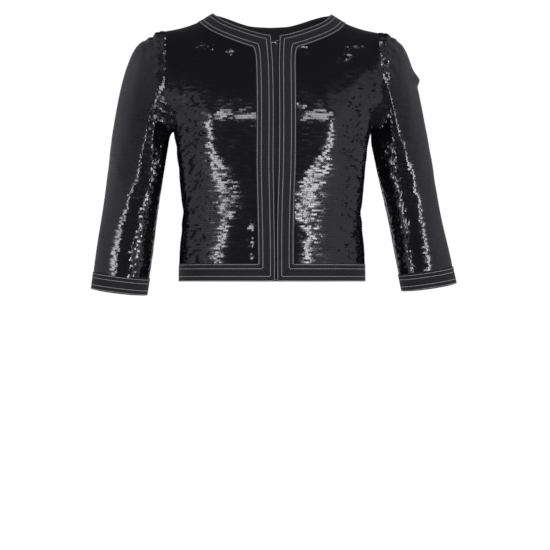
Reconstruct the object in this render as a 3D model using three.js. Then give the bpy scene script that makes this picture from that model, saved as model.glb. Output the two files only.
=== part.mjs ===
// Cropped collarless jacket of sequinned cloth, in the shape it takes when it is worn.
// Millimetres. The jacket's front faces -Y, +X is the wearer's left, +Z is up.
// Z = 0 is the level of the middle of the shoulder seams, where the wearer carries it.
import * as THREE from "three";

// ---- Cloth ----
const WALL = 1.4; // sequinned cloth with its backing
const TRIM_WALL = 1.2; // woven trim
const INSIDE_WALL = 1.0; // facing and underlap
const SEAM = 0.3; // between two panels at a seam
const LAY = 0.8; // between a panel and a strip that lies on it
const NECK_LAY = 1.1; // the same at the neck, which curves both ways
const TRIM = 28; // width of the trim

// ---- Body, section by section ----
const BODY = [
  { height: -430, width: 147.2, front: 112.5, back: 109, square: 2.3 },
  { height: -376, width: 146.4, front: 109.5, back: 104, square: 2.3 },
  { height: -350, width: 145.3, front: 107.5, back: 100.5, square: 2.3 },
  { height: -325, width: 142.4, front: 105.8, back: 98, square: 2.3 },
  { height: -299, width: 142.3, front: 106, back: 97.5, square: 2.3 },
  { height: -248, width: 146.3, front: 111, back: 101, square: 2.3 },
  { height: -210, width: 150.5, front: 116.5, back: 105, square: 2.32 },
  { height: -171, width: 156, front: 120.3, back: 108, square: 2.35 },
  { height: -150, width: 160, front: 121, back: 109, square: 2.35 },
];
const CHEST = -150; // above this level the cloth rolls back to the shoulder line
const RISE = 200; // length given to that roll
const TOP = CHEST + RISE;
const FLARE = 0.15; // widening from chest to shoulder line
const SHOULDER_BACK = 8; // how far behind the middle the shoulder line runs
const ROLL = {
  front: { rise: 0.3, fall: 0.63 },
  back: { rise: 0.68, fall: 0.62 },
};
const BUST = { across: 83, height: -150, wide: 42, tall: 48, swell: 6 };

// Height of the shoulder line, by distance from the middle.
const SHOULDER = [
  { across: 0, height: 51 },
  { across: 60, height: 31 },
  { across: 94, height: 16.5 },
  { across: 115, height: 4.2 },
  { across: 140, height: -5 },
  { across: 172, height: -11.5 },
  { across: 190, height: -14.5 },
];

// ---- Edges and seams ----
const NECK_SIDE = 94;
const NECK_FRONT = [
  { across: 0, height: -28 },
  { across: 16, height: -26.5 },
  { across: 47, height: -16.5 },
  { across: 77, height: -2 },
  { across: 90, height: 10 },
  { across: NECK_SIDE, height: 16.5 },
];
const NECK_BACK = [
  { across: 0, height: 5.5 },
  { across: 30, height: 6.5 },
  { across: 48, height: 10 },
  { across: 66, height: 14.5 },
  { across: 82, height: 17 },
  { across: NECK_SIDE, height: 16.5 },
];
const HEM_FRONT = -410;
const HEM_BACK = -410.5;

// Half of the opening between the two fronts, by height.
const OPENING = [
  { height: -420, half: 1.4 },
  { height: -360, half: 1.3 },
  { height: -290, half: 2.2 },
  { height: -230, half: 3.7 },
  { height: -80, half: 4.0 },
  { height: -50, half: 5.2 },
  { height: -20, half: 7.2 },
];
const ARMHOLE = { tip: 0.375, bottom: -170, meets: -148, round: 3.2, scoop: 0.015 };
const SIDE_SEAM = { around: 0.283, leaves: -225 };

// ---- Sleeves ----
const SLEEVE = [
  { along: 0, wide: 44.5, deep: 55 },
  { along: 0.3, wide: 42.5, deep: 51 },
  { along: 0.55, wide: 41.2, deep: 48 },
  { along: 0.8, wide: 42, deep: 46.5 },
  { along: 1, wide: 42.2, deep: 46.5 },
];
const ARMS = {
  left: { side: 1, out: 204.5, forward: 0, cuffOut: 245.5, cuffForward: 52, end: -419, pucker: 4, full: 0 },
  right: { side: -1, out: 210, forward: 0, cuffOut: 242.5, cuffForward: 52, end: -426.5, pucker: 0, full: 0.05 },
};
const UPPER_ARM = -184; // level where the sleeve head ends
const HEAD = { lift: 0.2, start: 0.27, end: 0.47 };
const CUFF_DROOP = 16.5; // levels the cuff of the forward sleeve

// ---- Inside and fastening ----
const FACING = { rows: 2 };
const UNDERLAP = {
  above: 4,
  below: 6,
  rows: 7,
  section: [
    { across: -12.5, depth: 2.2 },
    { across: -7.5, depth: 3.6 },
    { across: 0, depth: 3.9 },
    { across: 7.5, depth: 3.6 },
    { across: 12.5, depth: 2.2 },
    { across: 17, depth: 2.2 },
  ],
};
const HOOK = { wire: 0.45, bar: 0.2, eyeTall: 2.4, curl: 1.25, height: -39 };

// ---- How many cells each piece is laid out with ----
const ROWS = { body: 11, armhole: 9, head: 7, sleeve: 6 };
const COLUMNS = { neck: 8, shoulder: 5, side: 6, backNeck: 12 };

// ---- Small sums ----
const mix = (a, b, t) => a + (b - a) * t;
const clamp = (t) => Math.min(1, Math.max(0, t));
const smooth = (t) => clamp(t) ** 2 * (3 - 2 * clamp(t));
const power = (value, exponent) => Math.sign(value) * Math.abs(value) ** exponent;
const bell = (distance) => Math.exp(-distance * distance);

// The value of one column of a table between its rows, on a curve through them all.
function tableAt(rows, key, column, at) {
  const last = rows.length - 1;
  const slope = (i) => {
    const a = rows[Math.max(0, i - 1)];
    const b = rows[Math.min(last, i + 1)];
    return (b[column] - a[column]) / (b[key] - a[key]);
  };
  if (at <= rows[0][key]) return rows[0][column] + slope(0) * (at - rows[0][key]);
  if (at >= rows[last][key]) return rows[last][column] + slope(last) * (at - rows[last][key]);
  let i = 0;
  while (rows[i + 1][key] < at) i++;
  const span = rows[i + 1][key] - rows[i][key];
  const t = (at - rows[i][key]) / span;
  const rest = 1 - t;
  return (
    rows[i][column] * (1 + 2 * t) * rest * rest +
    rows[i + 1][column] * (3 - 2 * t) * t * t +
    slope(i) * span * t * rest * rest -
    slope(i + 1) * span * rest * t * t
  );
}

// The value in [low, high] where a rising function passes zero.
function root(low, high, rising) {
  for (let step = 0; step < 50; step++) {
    const middle = (low + high) / 2;
    if (rising(middle) > 0) high = middle;
    else low = middle;
  }
  return (low + high) / 2;
}

// ---- The body's surface ----
// around: 0 at the centre front, 0.5 at the side, 1 at the centre back, on to 2 on the other side.
// up: the height below the chest, and above it the way over the shoulder line at TOP.
function bodyPoint(around, up) {
  if (up > TOP) return bodyPoint(1 - around, 2 * TOP - up);
  const turn = around * Math.PI;
  const level = Math.min(up, CHEST);
  const front = Math.cos(turn) > 0;
  const square = 2 / tableAt(BODY, "height", "square", level);
  const width = tableAt(BODY, "height", "width", level);
  const depth = tableAt(BODY, "height", front ? "front" : "back", level);
  const across = width * power(Math.sin(turn), square);
  const point = new THREE.Vector3(across, -depth * power(Math.cos(turn), square), level);
  if (up > CHEST) rollOver(point, (up - CHEST) / RISE, front);
  if (front) point.y -= bustSwell(point) * smooth(Math.cos(turn) * 2.5);
  return point;
}

// Takes a point of the chest section up and back to the shoulder line.
function rollOver(point, way, front) {
  const across = Math.abs(point.x);
  const quick = smooth((across - 95) / 55);
  const ridge = tableAt(SHOULDER, "across", "height", across * (1 + FLARE));
  const { rise, fall } = front ? ROLL.front : ROLL.back;
  const rest = 1 - way;
  const weights = [rest ** 3, 3 * rest * rest * way, 3 * rest * way * way, way ** 3];
  const behind = mix(SHOULDER_BACK, point.y, fall);
  const y = (weights[0] + weights[1]) * point.y + weights[2] * behind + weights[3] * SHOULDER_BACK;
  const z = CHEST * weights[0] + mix(CHEST, ridge, rise) * weights[1] + ridge * (weights[2] + weights[3]);
  point.set(point.x * (1 + FLARE * smooth(way / mix(0.75, 0.22, quick))), y, z);
}

function bustSwell(point) {
  const across = (Math.abs(point.x) - BUST.across) / BUST.wide;
  const height = (point.z - BUST.height) / BUST.tall;
  return BUST.swell * bell(across) * bell(height);
}

function bodyTangents(around, up) {
  const a = 0.002;
  const u = 0.5;
  const across = bodyPoint(around + a, up).sub(bodyPoint(around - a, up)).divideScalar(2 * a);
  const rising = bodyPoint(around, up + u).sub(bodyPoint(around, up - u)).divideScalar(2 * u);
  return { across, rising };
}

function bodyNormal(around, up) {
  const { across, rising } = bodyTangents(around, up);
  return across.cross(rising).normalize();
}

// Where one gets to on the body's surface by going a distance in a direction.
function walk(spot, direction, distance) {
  const steps = 6;
  let [around, up] = spot;
  for (let step = 0; step < steps; step++) {
    const { across, rising } = bodyTangents(around, up);
    const normal = across.clone().cross(rising).normalize();
    const way = direction.clone().addScaledVector(normal, -direction.dot(normal)).normalize();
    way.multiplyScalar(distance / steps);
    const aa = across.dot(across);
    const ar = across.dot(rising);
    const rr = rising.dot(rising);
    const det = aa * rr - ar * ar;
    around += (rr * way.dot(across) - ar * way.dot(rising)) / det;
    up += (aa * way.dot(rising) - ar * way.dot(across)) / det;
  }
  return [around, up];
}

// ---- Lines on the body: each gives a spot [around, up] for t from 0 to 1 ----
const hemUp = (around) => mix(HEM_FRONT, HEM_BACK, smooth((1 - Math.abs(1 - around) - 0.25) / 0.4));

function frontEdge(up) {
  return root(1e-5, 0.06, (around) => {
    const point = bodyPoint(around, up);
    return point.x - tableAt(OPENING, "height", "half", point.z);
  });
}

function neckUp(around, rows) {
  return root(CHEST + 30, TOP, (up) => {
    const point = bodyPoint(around, up);
    const across = Math.min(Math.abs(point.x), NECK_SIDE);
    return point.z - tableAt(rows, "across", "height", across);
  });
}

const NECK_TOP = root(0.05, 0.3, (around) => bodyPoint(around, TOP - 1e-6).x - NECK_SIDE);
const FRONT_CORNER = (() => {
  let up = 0;
  for (let step = 0; step < 20; step++) up = neckUp(frontEdge(up), NECK_FRONT);
  return [frontEdge(up), up];
})();

const frontEdgeLine = (t) => {
  const up = mix(HEM_FRONT, FRONT_CORNER[1], t);
  return [frontEdge(up), up];
};
const frontNeckLine = (t) => {
  const around = mix(FRONT_CORNER[0], NECK_TOP, Math.sin((t * Math.PI) / 2));
  return [around, t === 1 ? TOP : neckUp(around, NECK_FRONT)];
};
const backNeckLine = (t) => {
  const around = mix(1 - NECK_TOP, 1 + NECK_TOP, (1 - Math.cos(t * Math.PI)) / 2);
  return [around, t === 0 || t === 1 ? TOP : neckUp(around, NECK_BACK)];
};
const shoulderLine = (t) => [mix(NECK_TOP, ARMHOLE.tip, t), TOP];

// From the shoulder tip (0) down the front to the lowest point of the armhole (1).
function armholeLine(t) {
  const turn = (t * Math.PI) / 2;
  const down = Math.sin(turn) ** (2 / ARMHOLE.round);
  const across = Math.cos(turn) ** (2 / ARMHOLE.round);
  const scoop = ARMHOLE.scoop * Math.sin(Math.PI * down);
  return [0.5 - (0.5 - ARMHOLE.tip) * across - scoop, mix(TOP, ARMHOLE.bottom, down)];
}
const ARMHOLE_MEETS = root(0.1, 0.999, (t) => ARMHOLE.meets - armholeLine(t)[1]);
const MEETING = armholeLine(ARMHOLE_MEETS);

// The seam between front and side panel, from the hem (0) to the armhole (1).
function sideSeamLine(t) {
  const up = mix(hemUp(SIDE_SEAM.around), MEETING[1], t);
  const bend = clamp((up - SIDE_SEAM.leaves) / (MEETING[1] - SIDE_SEAM.leaves));
  return [mix(SIDE_SEAM.around, MEETING[0], bend ** 1.6), up];
}

// Spots spaced evenly along a line, first and last included.
function evenly(line, count, from = 0, to = 1) {
  const fine = 240;
  const lengths = [0];
  let before = bodyPoint(...line(from));
  for (let i = 1; i <= fine; i++) {
    const point = bodyPoint(...line(mix(from, to, i / fine)));
    lengths.push(lengths[i - 1] + point.distanceTo(before));
    before = point;
  }
  const spots = [];
  for (let n = 0, i = 0; n <= count; n++) {
    const wanted = (lengths[fine] * n) / count;
    while (i < fine - 1 && lengths[i + 1] < wanted) i++;
    const part = clamp((wanted - lengths[i]) / (lengths[i + 1] - lengths[i]));
    spots.push(line(n === count ? to : mix(from, to, (i + part) / fine)));
  }
  return spots;
}

const behind = (spots) => spots.map(([around, up]) => [1 - around, up]);
const otherSide = (spots) => spots.map(([around, up]) => [2 - around, up]);
const reversed = (spots) => [...spots].reverse();

// ---- Patches: a grid of spots between four edges ----
function patch(bottom, top, left, right) {
  const across = bottom.length - 1;
  const rows = left.length - 1;
  const corner = (n, s, t) =>
    (1 - s) * ((1 - t) * bottom[0][n] + t * top[0][n]) + s * ((1 - t) * bottom[across][n] + t * top[across][n]);
  return left.map((_, r) =>
    bottom.map((_, c) => {
      const s = c / across;
      const t = r / rows;
      return [0, 1].map(
        (n) =>
          (1 - t) * bottom[c][n] + t * top[c][n] + (1 - s) * left[r][n] + s * right[r][n] - corner(n, s, t),
      );
    }),
  );
}

const between = (a, b, count) =>
  Array.from({ length: count + 1 }, (_, i) => [mix(a[0], b[0], i / count), mix(a[1], b[1], i / count)]);

function hemBetween(a, b, count) {
  return between(a, b, count).map(([around]) => [around, hemUp(around)]);
}

// ---- Closed walls ----
// A grid of outer points with outward normals becomes one closed wall of the given thickness.
function wall(rows, thickness, { tube = false, outside = 0, mirror = false } = {}) {
  const height = rows.length;
  const width = rows[0].length;
  const positions = [];
  for (const depth of [outside, outside - thickness])
    for (const row of rows)
      for (const { point, normal } of row) {
        const moved = point.clone().addScaledVector(normal, depth);
        positions.push(mirror ? -moved.x : moved.x, moved.y, moved.z);
      }
  const index = [];
  const inner = height * width;
  const quad = (a, b, c, d) => (mirror ? index.push(a, c, b, a, d, c) : index.push(a, b, c, a, c, d));
  const columns = tube ? width : width - 1;
  for (let r = 0; r < height - 1; r++)
    for (let c = 0; c < columns; c++) {
      const next = (c + 1) % width;
      const [a, b, d, e] = [r * width + c, r * width + next, (r + 1) * width + next, (r + 1) * width + c];
      quad(a, b, d, e);
      quad(inner + a, inner + e, inner + d, inner + b);
    }
  for (let c = 0; c < columns; c++) {
    const next = (c + 1) % width;
    const last = (height - 1) * width;
    quad(c, inner + c, inner + next, next);
    quad(last + c, last + next, inner + last + next, inner + last + c);
  }
  if (!tube)
    for (let r = 0; r < height - 1; r++) {
      const [a, b] = [r * width, (r + 1) * width];
      const [c, d] = [a + width - 1, b + width - 1];
      quad(a, b, inner + b, inner + a);
      quad(c, inner + c, inner + d, d);
    }
  const geometry = new THREE.BufferGeometry();
  geometry.setAttribute("position", new THREE.Float32BufferAttribute(positions, 3));
  geometry.setIndex(index);
  geometry.computeVertexNormals();
  return geometry;
}

const onBody = (spots) =>
  spots.map((row) => row.map((spot) => ({ point: bodyPoint(...spot), normal: bodyNormal(...spot) })));

// Draws a grid of points in by half a seam along the chosen sides.
function trimmed(grid, sides) {
  const half = SEAM / 2;
  const height = grid.length;
  const width = grid[0].length;
  const move = (point, from) => point.addScaledVector(from.clone().sub(point).normalize(), half);
  const copy = grid.map((row) => row.map(({ point }) => point.clone()));
  for (let r = 0; r < height; r++) {
    if (sides.left) move(grid[r][0].point, copy[r][1]);
    if (sides.right) move(grid[r][width - 1].point, copy[r][width - 2]);
  }
  for (let c = sides.topFrom ?? 0; c <= (sides.topTo ?? width - 1); c++)
    if (sides.top) move(grid[height - 1][c].point, copy[height - 2][c]);
  return grid;
}

// ---- Materials ----
const cloth = (name, color, roughness) =>
  Object.assign(new THREE.MeshStandardMaterial({ color, roughness, metalness: 0 }), { name });
const SEQUINNED = cloth("sequinned_cloth", 0x17171a, 0.3);
const WOVEN = cloth("woven_trim", 0x34353b, 0.85);
const PLAIN = cloth("plain_black_cloth", 0x141416, 0.8);
const METAL = Object.assign(
  new THREE.MeshStandardMaterial({ color: 0x8f9196, roughness: 0.35, metalness: 1 }),
  { name: "hook_wire" },
);

const jacket = new THREE.Group();
jacket.name = "cropped_jacket";

function add(name, geometry, material) {
  const mesh = new THREE.Mesh(geometry, material);
  mesh.name = name;
  jacket.add(mesh);
}

// ---- Lines that neighbouring pieces share ----
const SEAM_SPOTS = evenly(sideSeamLine, ROWS.body);
const ARM_FRONT = evenly(armholeLine, ROWS.armhole, 0, ARMHOLE_MEETS);
const ARM_UNDER = evenly(armholeLine, COLUMNS.side / 2, ARMHOLE_MEETS, 1);
const NECK_SPOTS = evenly(frontNeckLine, COLUMNS.neck);
const BACK_NECK_SPOTS = evenly(backNeckLine, COLUMNS.backNeck);
const SHOULDER_SPOTS = evenly(shoulderLine, COLUMNS.shoulder);
const EDGE_SPLIT = (MEETING[1] - HEM_FRONT) / (FRONT_CORNER[1] - HEM_FRONT);

// ---- Body panels ----
function frontPanel() {
  const low = evenly(frontEdgeLine, ROWS.body, 0, EDGE_SPLIT);
  const high = evenly(frontEdgeLine, ROWS.armhole, EDGE_SPLIT, 1);
  const columns = COLUMNS.neck + COLUMNS.shoulder;
  const chest = between(low[ROWS.body], MEETING, columns);
  const hem = hemBetween(low[0], SEAM_SPOTS[0], columns);
  const top = [...NECK_SPOTS, ...SHOULDER_SPOTS.slice(1)];
  const lower = patch(hem, chest, low, SEAM_SPOTS);
  const upper = patch(chest, top, high, reversed(ARM_FRONT));
  const grid = onBody([...lower, ...upper.slice(1)]);
  return trimmed(grid, { right: true, top: true, topFrom: COLUMNS.neck });
}

function sidePanel() {
  const armhole = [...ARM_UNDER, ...reversed(behind(ARM_UNDER)).slice(1)];
  const backSeam = behind(SEAM_SPOTS);
  const hem = hemBetween(SEAM_SPOTS[0], backSeam[0], COLUMNS.side);
  const grid = onBody(patch(hem, armhole, SEAM_SPOTS, backSeam));
  return trimmed(grid, { left: true, right: true, top: true });
}

function backPanel() {
  const left = behind(SEAM_SPOTS);
  const right = otherSide(left);
  const columns = COLUMNS.shoulder * 2 + COLUMNS.backNeck;
  const chest = between(left[ROWS.body], right[ROWS.body], columns);
  const hem = hemBetween(left[0], right[0], columns);
  const shoulder = reversed(behind(SHOULDER_SPOTS));
  const top = [...shoulder, ...BACK_NECK_SPOTS.slice(1), ...reversed(otherSide(shoulder)).slice(1)];
  const armhole = reversed(behind(ARM_FRONT));
  const lower = patch(hem, chest, left, right);
  const upper = patch(chest, top, armhole, otherSide(armhole));
  const grid = onBody([...lower, ...upper.slice(1)]);
  trimmed(grid, { left: true, right: true, top: true, topTo: COLUMNS.shoulder });
  return trimmed(grid, { top: true, topFrom: columns - COLUMNS.shoulder });
}

const FRONT = frontPanel();
const SIDE = sidePanel();
const BACK = backPanel();
add("front_left", wall(FRONT, WALL), SEQUINNED);
add("front_right", wall(FRONT, WALL, { mirror: true }), SEQUINNED);
add("side_left", wall(SIDE, WALL), SEQUINNED);
add("side_right", wall(SIDE, WALL, { mirror: true }), SEQUINNED);
add("back", wall(BACK, WALL), SEQUINNED);

// ---- Sleeves ----
const ARMHOLE_SPOTS = [
  ...ARM_FRONT,
  ...ARM_UNDER.slice(1),
  ...reversed(behind(ARM_UNDER)).slice(1),
  ...reversed(behind(ARM_FRONT)).slice(1, -1),
];

// Centre line of the lower sleeve, bent forward at the elbow.
function sleeveCentre(arm, along) {
  const bend = along * (0.55 + 0.45 * along);
  return new THREE.Vector3(
    mix(arm.out, arm.cuffOut, along),
    -mix(arm.forward, arm.cuffForward, bend),
    mix(UPPER_ARM, arm.end, along),
  );
}

function sleeveSection(arm, along, angle) {
  const centre = sleeveCentre(arm, along);
  const down = sleeveCentre(arm, along + 0.01).sub(sleeveCentre(arm, along - 0.01)).normalize();
  const out = new THREE.Vector3(1, 0, 0).addScaledVector(down, -down.x).normalize();
  const ahead = out.clone().cross(down).normalize();
  const fuller = 1 + arm.full * bell((along - 0.65) / 0.3);
  const wide = tableAt(SLEEVE, "along", "wide", along) * fuller * Math.cos(angle);
  const deep = tableAt(SLEEVE, "along", "deep", along) * Math.sin(angle);
  const droop = CUFF_DROOP * smooth((along - 0.35) / 0.5) * Math.sin(angle);
  return { point: centre.addScaledVector(out, wide).addScaledVector(ahead, -deep).addScaledVector(down, droop), down };
}

// One lengthwise line of the sleeve: over the head, then down to the cuff.
function sleeveLine(arm, start, angle) {
  const end = sleeveSection(arm, 0, angle);
  const high = Math.max(0, Math.cos(angle));
  const leave = new THREE.Vector3(1, -0.22 * Math.sin(angle), mix(-0.12, HEAD.lift, high));
  leave.normalize();
  const reach = start.distanceTo(end.point);
  const first = start.clone().addScaledVector(leave, reach * HEAD.start);
  const second = end.point.clone().addScaledVector(end.down, -reach * HEAD.end);
  const curve = new THREE.CubicBezierCurve3(
    start.clone().addScaledVector(leave, SEAM),
    first,
    second,
    end.point,
  );
  const head = Array.from({ length: ROWS.head }, (_, r) => curve.getPoint((r / ROWS.head) ** 1.1));
  const lower = Array.from({ length: ROWS.sleeve + 1 }, (_, r) => sleeveSection(arm, r / ROWS.sleeve, angle).point);
  return [...head, ...lower];
}

function sleeveRows(arm) {
  const starts = ARMHOLE_SPOTS.map((spot) => bodyPoint(...spot));
  const lengths = [0];
  for (let i = 1; i <= starts.length; i++)
    lengths.push(lengths[i - 1] + starts[i % starts.length].distanceTo(starts[i - 1]));
  const whole = lengths[starts.length];
  const lines = starts.map((start, i) => sleeveLine(arm, start, (2 * Math.PI * lengths[i]) / whole));
  const rows = lines[0].map((_, r) => lines.map((line) => line[r]));
  for (const row of rows)
    for (const point of row)
      point.x += arm.pucker * bell((point.z + 82) / 9) * smooth((point.x - 215) / 15);
  return rows;
}

// Normals of a tube's grid from the neighbours of each point.
function withNormals(rows) {
  const width = rows[0].length;
  return rows.map((row, r) =>
    row.map((point, c) => {
      const along = rows[Math.min(r + 1, rows.length - 1)][c].clone().sub(rows[Math.max(r - 1, 0)][c]);
      const around = row[(c + 1) % width].clone().sub(row[(c + width - 1) % width]);
      return { point, normal: around.cross(along).normalize() };
    }),
  );
}

// The trim round a cuff lies on the sleeve's last rows.
function cuffTrim(arm, rows) {
  const length = sleeveCentre(arm, 1).distanceTo(sleeveCentre(arm, 0.9)) / 0.1;
  const last = rows[rows.length - 1];
  const before = rows[rows.length - 2];
  const share = TRIM / length / (1 / ROWS.sleeve);
  const upper = last.map((point, c) => point.clone().lerp(before[c], share));
  return withNormals([upper, last.map((point) => point.clone())]);
}

for (const [name, arm] of Object.entries(ARMS)) {
  const rows = sleeveRows(arm);
  const mirror = arm.side < 0;
  add("sleeve_" + name, wall(withNormals(rows), WALL, { tube: true, mirror }), SEQUINNED);
  const onTop = { tube: true, mirror, outside: LAY + TRIM_WALL };
  add("cuff_trim_" + name, wall(cuffTrim(arm, rows), TRIM_WALL, onTop), WOVEN);
}

// ---- Trim along the edges ----
// A line measured by its length in millimetres, with its direction at each place.
function measured(line) {
  const spots = evenly(line, 200);
  const points = spots.map((spot) => bodyPoint(...spot));
  const lengths = [0];
  for (let i = 1; i < points.length; i++) lengths.push(lengths[i - 1] + points[i].distanceTo(points[i - 1]));
  const length = lengths[200];
  const at = (distance) => {
    const place = clamp(distance / length) * 200;
    const i = Math.min(199, Math.floor(place));
    return [0, 1].map((n) => mix(spots[i][n], spots[i + 1][n], place - i));
  };
  const away = (distance) => {
    const spot = at(distance);
    const ahead = bodyPoint(...at(distance + 1)).sub(bodyPoint(...at(distance - 1)));
    return ahead.cross(bodyNormal(...spot)).normalize();
  };
  return { length, at, away };
}

// Sections of a strip along a line; a mitred end slants over the strip's own width.
function strip(line, { width, sections, cells, from = 0, to = line.length, startMitre = 0, endMitre = 0 }) {
  const reach = 2.4 * width;
  return Array.from({ length: sections + 1 }, (_, k) => {
    const place = mix(from, to, k / sections);
    const start = startMitre * Math.max(0, 1 - place / reach);
    const end = endMitre * Math.max(0, 1 - (line.length - place) / reach);
    return Array.from({ length: cells + 1 }, (_, c) => {
      const part = c / cells;
      const along = place + part * width * (start - end);
      const spot = walk(line.at(along), line.away(along), Math.max(part * width, 1e-6));
      return { point: bodyPoint(...spot), normal: bodyNormal(...spot) };
    });
  });
}

const mirrored = ({ point, normal }) => ({
  point: new THREE.Vector3(-point.x, point.y, point.z),
  normal: new THREE.Vector3(-normal.x, normal.y, normal.z),
});

// Both halves of a strip that crosses the centre back, where the half ends or starts.
const flipped = (rows) => reversed(rows).map((row) => row.map(mirrored));
const onwards = (half) => [...half, ...flipped(half.slice(0, -1))];
const backwards = (half) => [...flipped(half.slice(1)), ...half];

// Leaves room at a strip's two ends for the pieces that it meets there.
function drawnIn(grid) {
  const ends = [
    [0, 1],
    [grid.length - 1, grid.length - 2],
  ];
  for (const [end, next] of ends)
    grid[end].forEach(({ point }, c) => {
      const way = grid[next][c].point.clone().sub(point).normalize();
      point.addScaledVector(way, SEAM * 0.75);
    });
  return grid;
}

// How far the mitre at the neck corner slants, as a share of the trim's width.
const NECK_MITRE = 0.78;

const neckLine = measured((t) => {
  if (t <= 0.5) return frontNeckLine(t * 2);
  const [around, up] = backNeckLine(t - 0.5);
  return [1 - around, 2 * TOP - up];
});
const edgeLine = measured(frontEdgeLine);
const hemLine = measured((t) => {
  const around = mix(1, frontEdgeLine(0)[0], t);
  return [around, hemUp(around)];
});

const lying = { outside: LAY + TRIM_WALL };
const neckHalf = strip(neckLine, { width: TRIM, sections: 15, cells: 3, startMitre: NECK_MITRE });
add("neck_trim", wall(drawnIn(onwards(neckHalf)), TRIM_WALL, { outside: NECK_LAY + TRIM_WALL }), WOVEN);
const hemHalf = strip(hemLine, { width: TRIM, sections: 20, cells: 2, endMitre: 1 });
add("hem_trim", wall(drawnIn(backwards(hemHalf)), TRIM_WALL, lying), WOVEN);
const edge = { width: TRIM, sections: 18, cells: 2, startMitre: 1, endMitre: NECK_MITRE };
const EDGE_TRIM = drawnIn(strip(edgeLine, edge));
add("edge_trim_left", wall(EDGE_TRIM, TRIM_WALL, lying), WOVEN);
add("edge_trim_right", wall(EDGE_TRIM, TRIM_WALL, { ...lying, mirror: true }), WOVEN);


// ---- Inside: back neck facing and underlap ----
const facing = BACK.slice(-1 - FACING.rows).map((row) =>
  row.slice(COLUMNS.shoulder, COLUMNS.shoulder + COLUMNS.backNeck + 1),
);
add("back_neck_facing", wall(facing, INSIDE_WALL, { outside: -(WALL + SEAM + 0.1) }), PLAIN);

// The spot on the front at a distance to the side of the centre.
function acrossSpot(across, height) {
  const low = across < 0 ? -0.1 : 0;
  const around = root(low, low + 0.1, (a) => bodyPoint(a, height).x - across);
  return [around, height];
}

function underlap() {
  const top = FRONT_CORNER[1] - UNDERLAP.below;
  const rows = Array.from({ length: UNDERLAP.rows + 1 }, (_, r) => {
    const up = mix(HEM_FRONT + UNDERLAP.above, top, r / UNDERLAP.rows);
    return UNDERLAP.section.map(({ across, depth }) => {
      const spot = acrossSpot(across, up);
      const point = bodyPoint(...spot);
      point.y += depth;
      return { point, normal: new THREE.Vector3(0, -1, 0) };
    });
  });
  return wall(rows, INSIDE_WALL);
}
add("underlap", underlap(), PLAIN);

// ---- Hook and eye, bent from wire, hooked together between the two fronts ----
function wire(points, radius) {
  const path = new THREE.CatmullRomCurve3(points, false, "centripetal");
  const length = points.length * 3;
  const side = 6;
  const frames = path.computeFrenetFrames(length, false);
  const rows = Array.from({ length: length + 1 }, (_, i) => {
    const centre = path.getPointAt(i / length);
    return Array.from({ length: side }, (_, c) => {
      const turn = (2 * Math.PI * c) / side;
      const out = frames.normals[i].clone().multiplyScalar(Math.cos(turn));
      out.addScaledVector(frames.binormals[i], Math.sin(turn));
      return centre.clone().addScaledVector(out, radius);
    });
  });
  const positions = rows.flat().flatMap((p) => [p.x, p.y, p.z]);
  const first = path.getPointAt(0);
  const last = path.getPointAt(1);
  positions.push(first.x, first.y, first.z, last.x, last.y, last.z);
  const index = [];
  const cap = rows.length * side;
  for (let c = 0; c < side; c++) {
    const next = (c + 1) % side;
    for (let r = 0; r < length; r++) {
      const [a, b] = [r * side, (r + 1) * side];
      index.push(a + c, a + next, b + next, a + c, b + next, b + c);
    }
    index.push(cap, next, c, cap + 1, length * side + c, length * side + next);
  }
  const geometry = new THREE.BufferGeometry();
  geometry.setAttribute("position", new THREE.Float32BufferAttribute(positions, 3));
  geometry.setIndex(index);
  return geometry;
}

const hookUp = root(CHEST, 0, (up) => bodyPoint(...acrossSpot(4, up)).z - HOOK.height);

// A path given as steps [across, forward, up] from the middle of the opening.
function hookPath(steps) {
  const depth = bodyPoint(...acrossSpot(4, hookUp)).y + WALL / 2;
  return steps.map(([across, forward, up]) => new THREE.Vector3(across, depth - forward, HOOK.height + up));
}

const reach = tableAt(OPENING, "height", "half", HOOK.height) - SEAM - 0.2;
const { bar, eyeTall, curl } = HOOK;
add(
  "eye_top",
  wire(
    hookPath([
      [reach, 0, -eyeTall],
      [bar + 1.4, 0, -eyeTall],
      [bar, 0, -eyeTall * 0.45],
      [bar, 0, eyeTall * 0.45],
      [bar + 1.4, 0, eyeTall],
      [reach, 0, eyeTall],
    ]),
    HOOK.wire,
  ),
  METAL,
);
add(
  "hook_top",
  wire(
    hookPath([
      [-reach, 0, 0],
      [bar - 2.6, 0.5, 0],
      [bar, curl, 0],
      [bar + curl * 0.8, curl * 0.6, 0],
      [bar + curl * 0.8, -curl * 0.6, 0],
      [bar, -curl, 0],
      [bar - 1.2, -curl, 0],
    ]),
    HOOK.wire,
  ),
  METAL,
);

export default jacket;
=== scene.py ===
"""Cropped collarless jacket of sequinned cloth, in its worn hollow form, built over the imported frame."""

import logging
import math
from dataclasses import dataclass, field, replace
from enum import Enum
from functools import partial
from typing import Callable, Mapping, NamedTuple, Sequence

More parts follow.
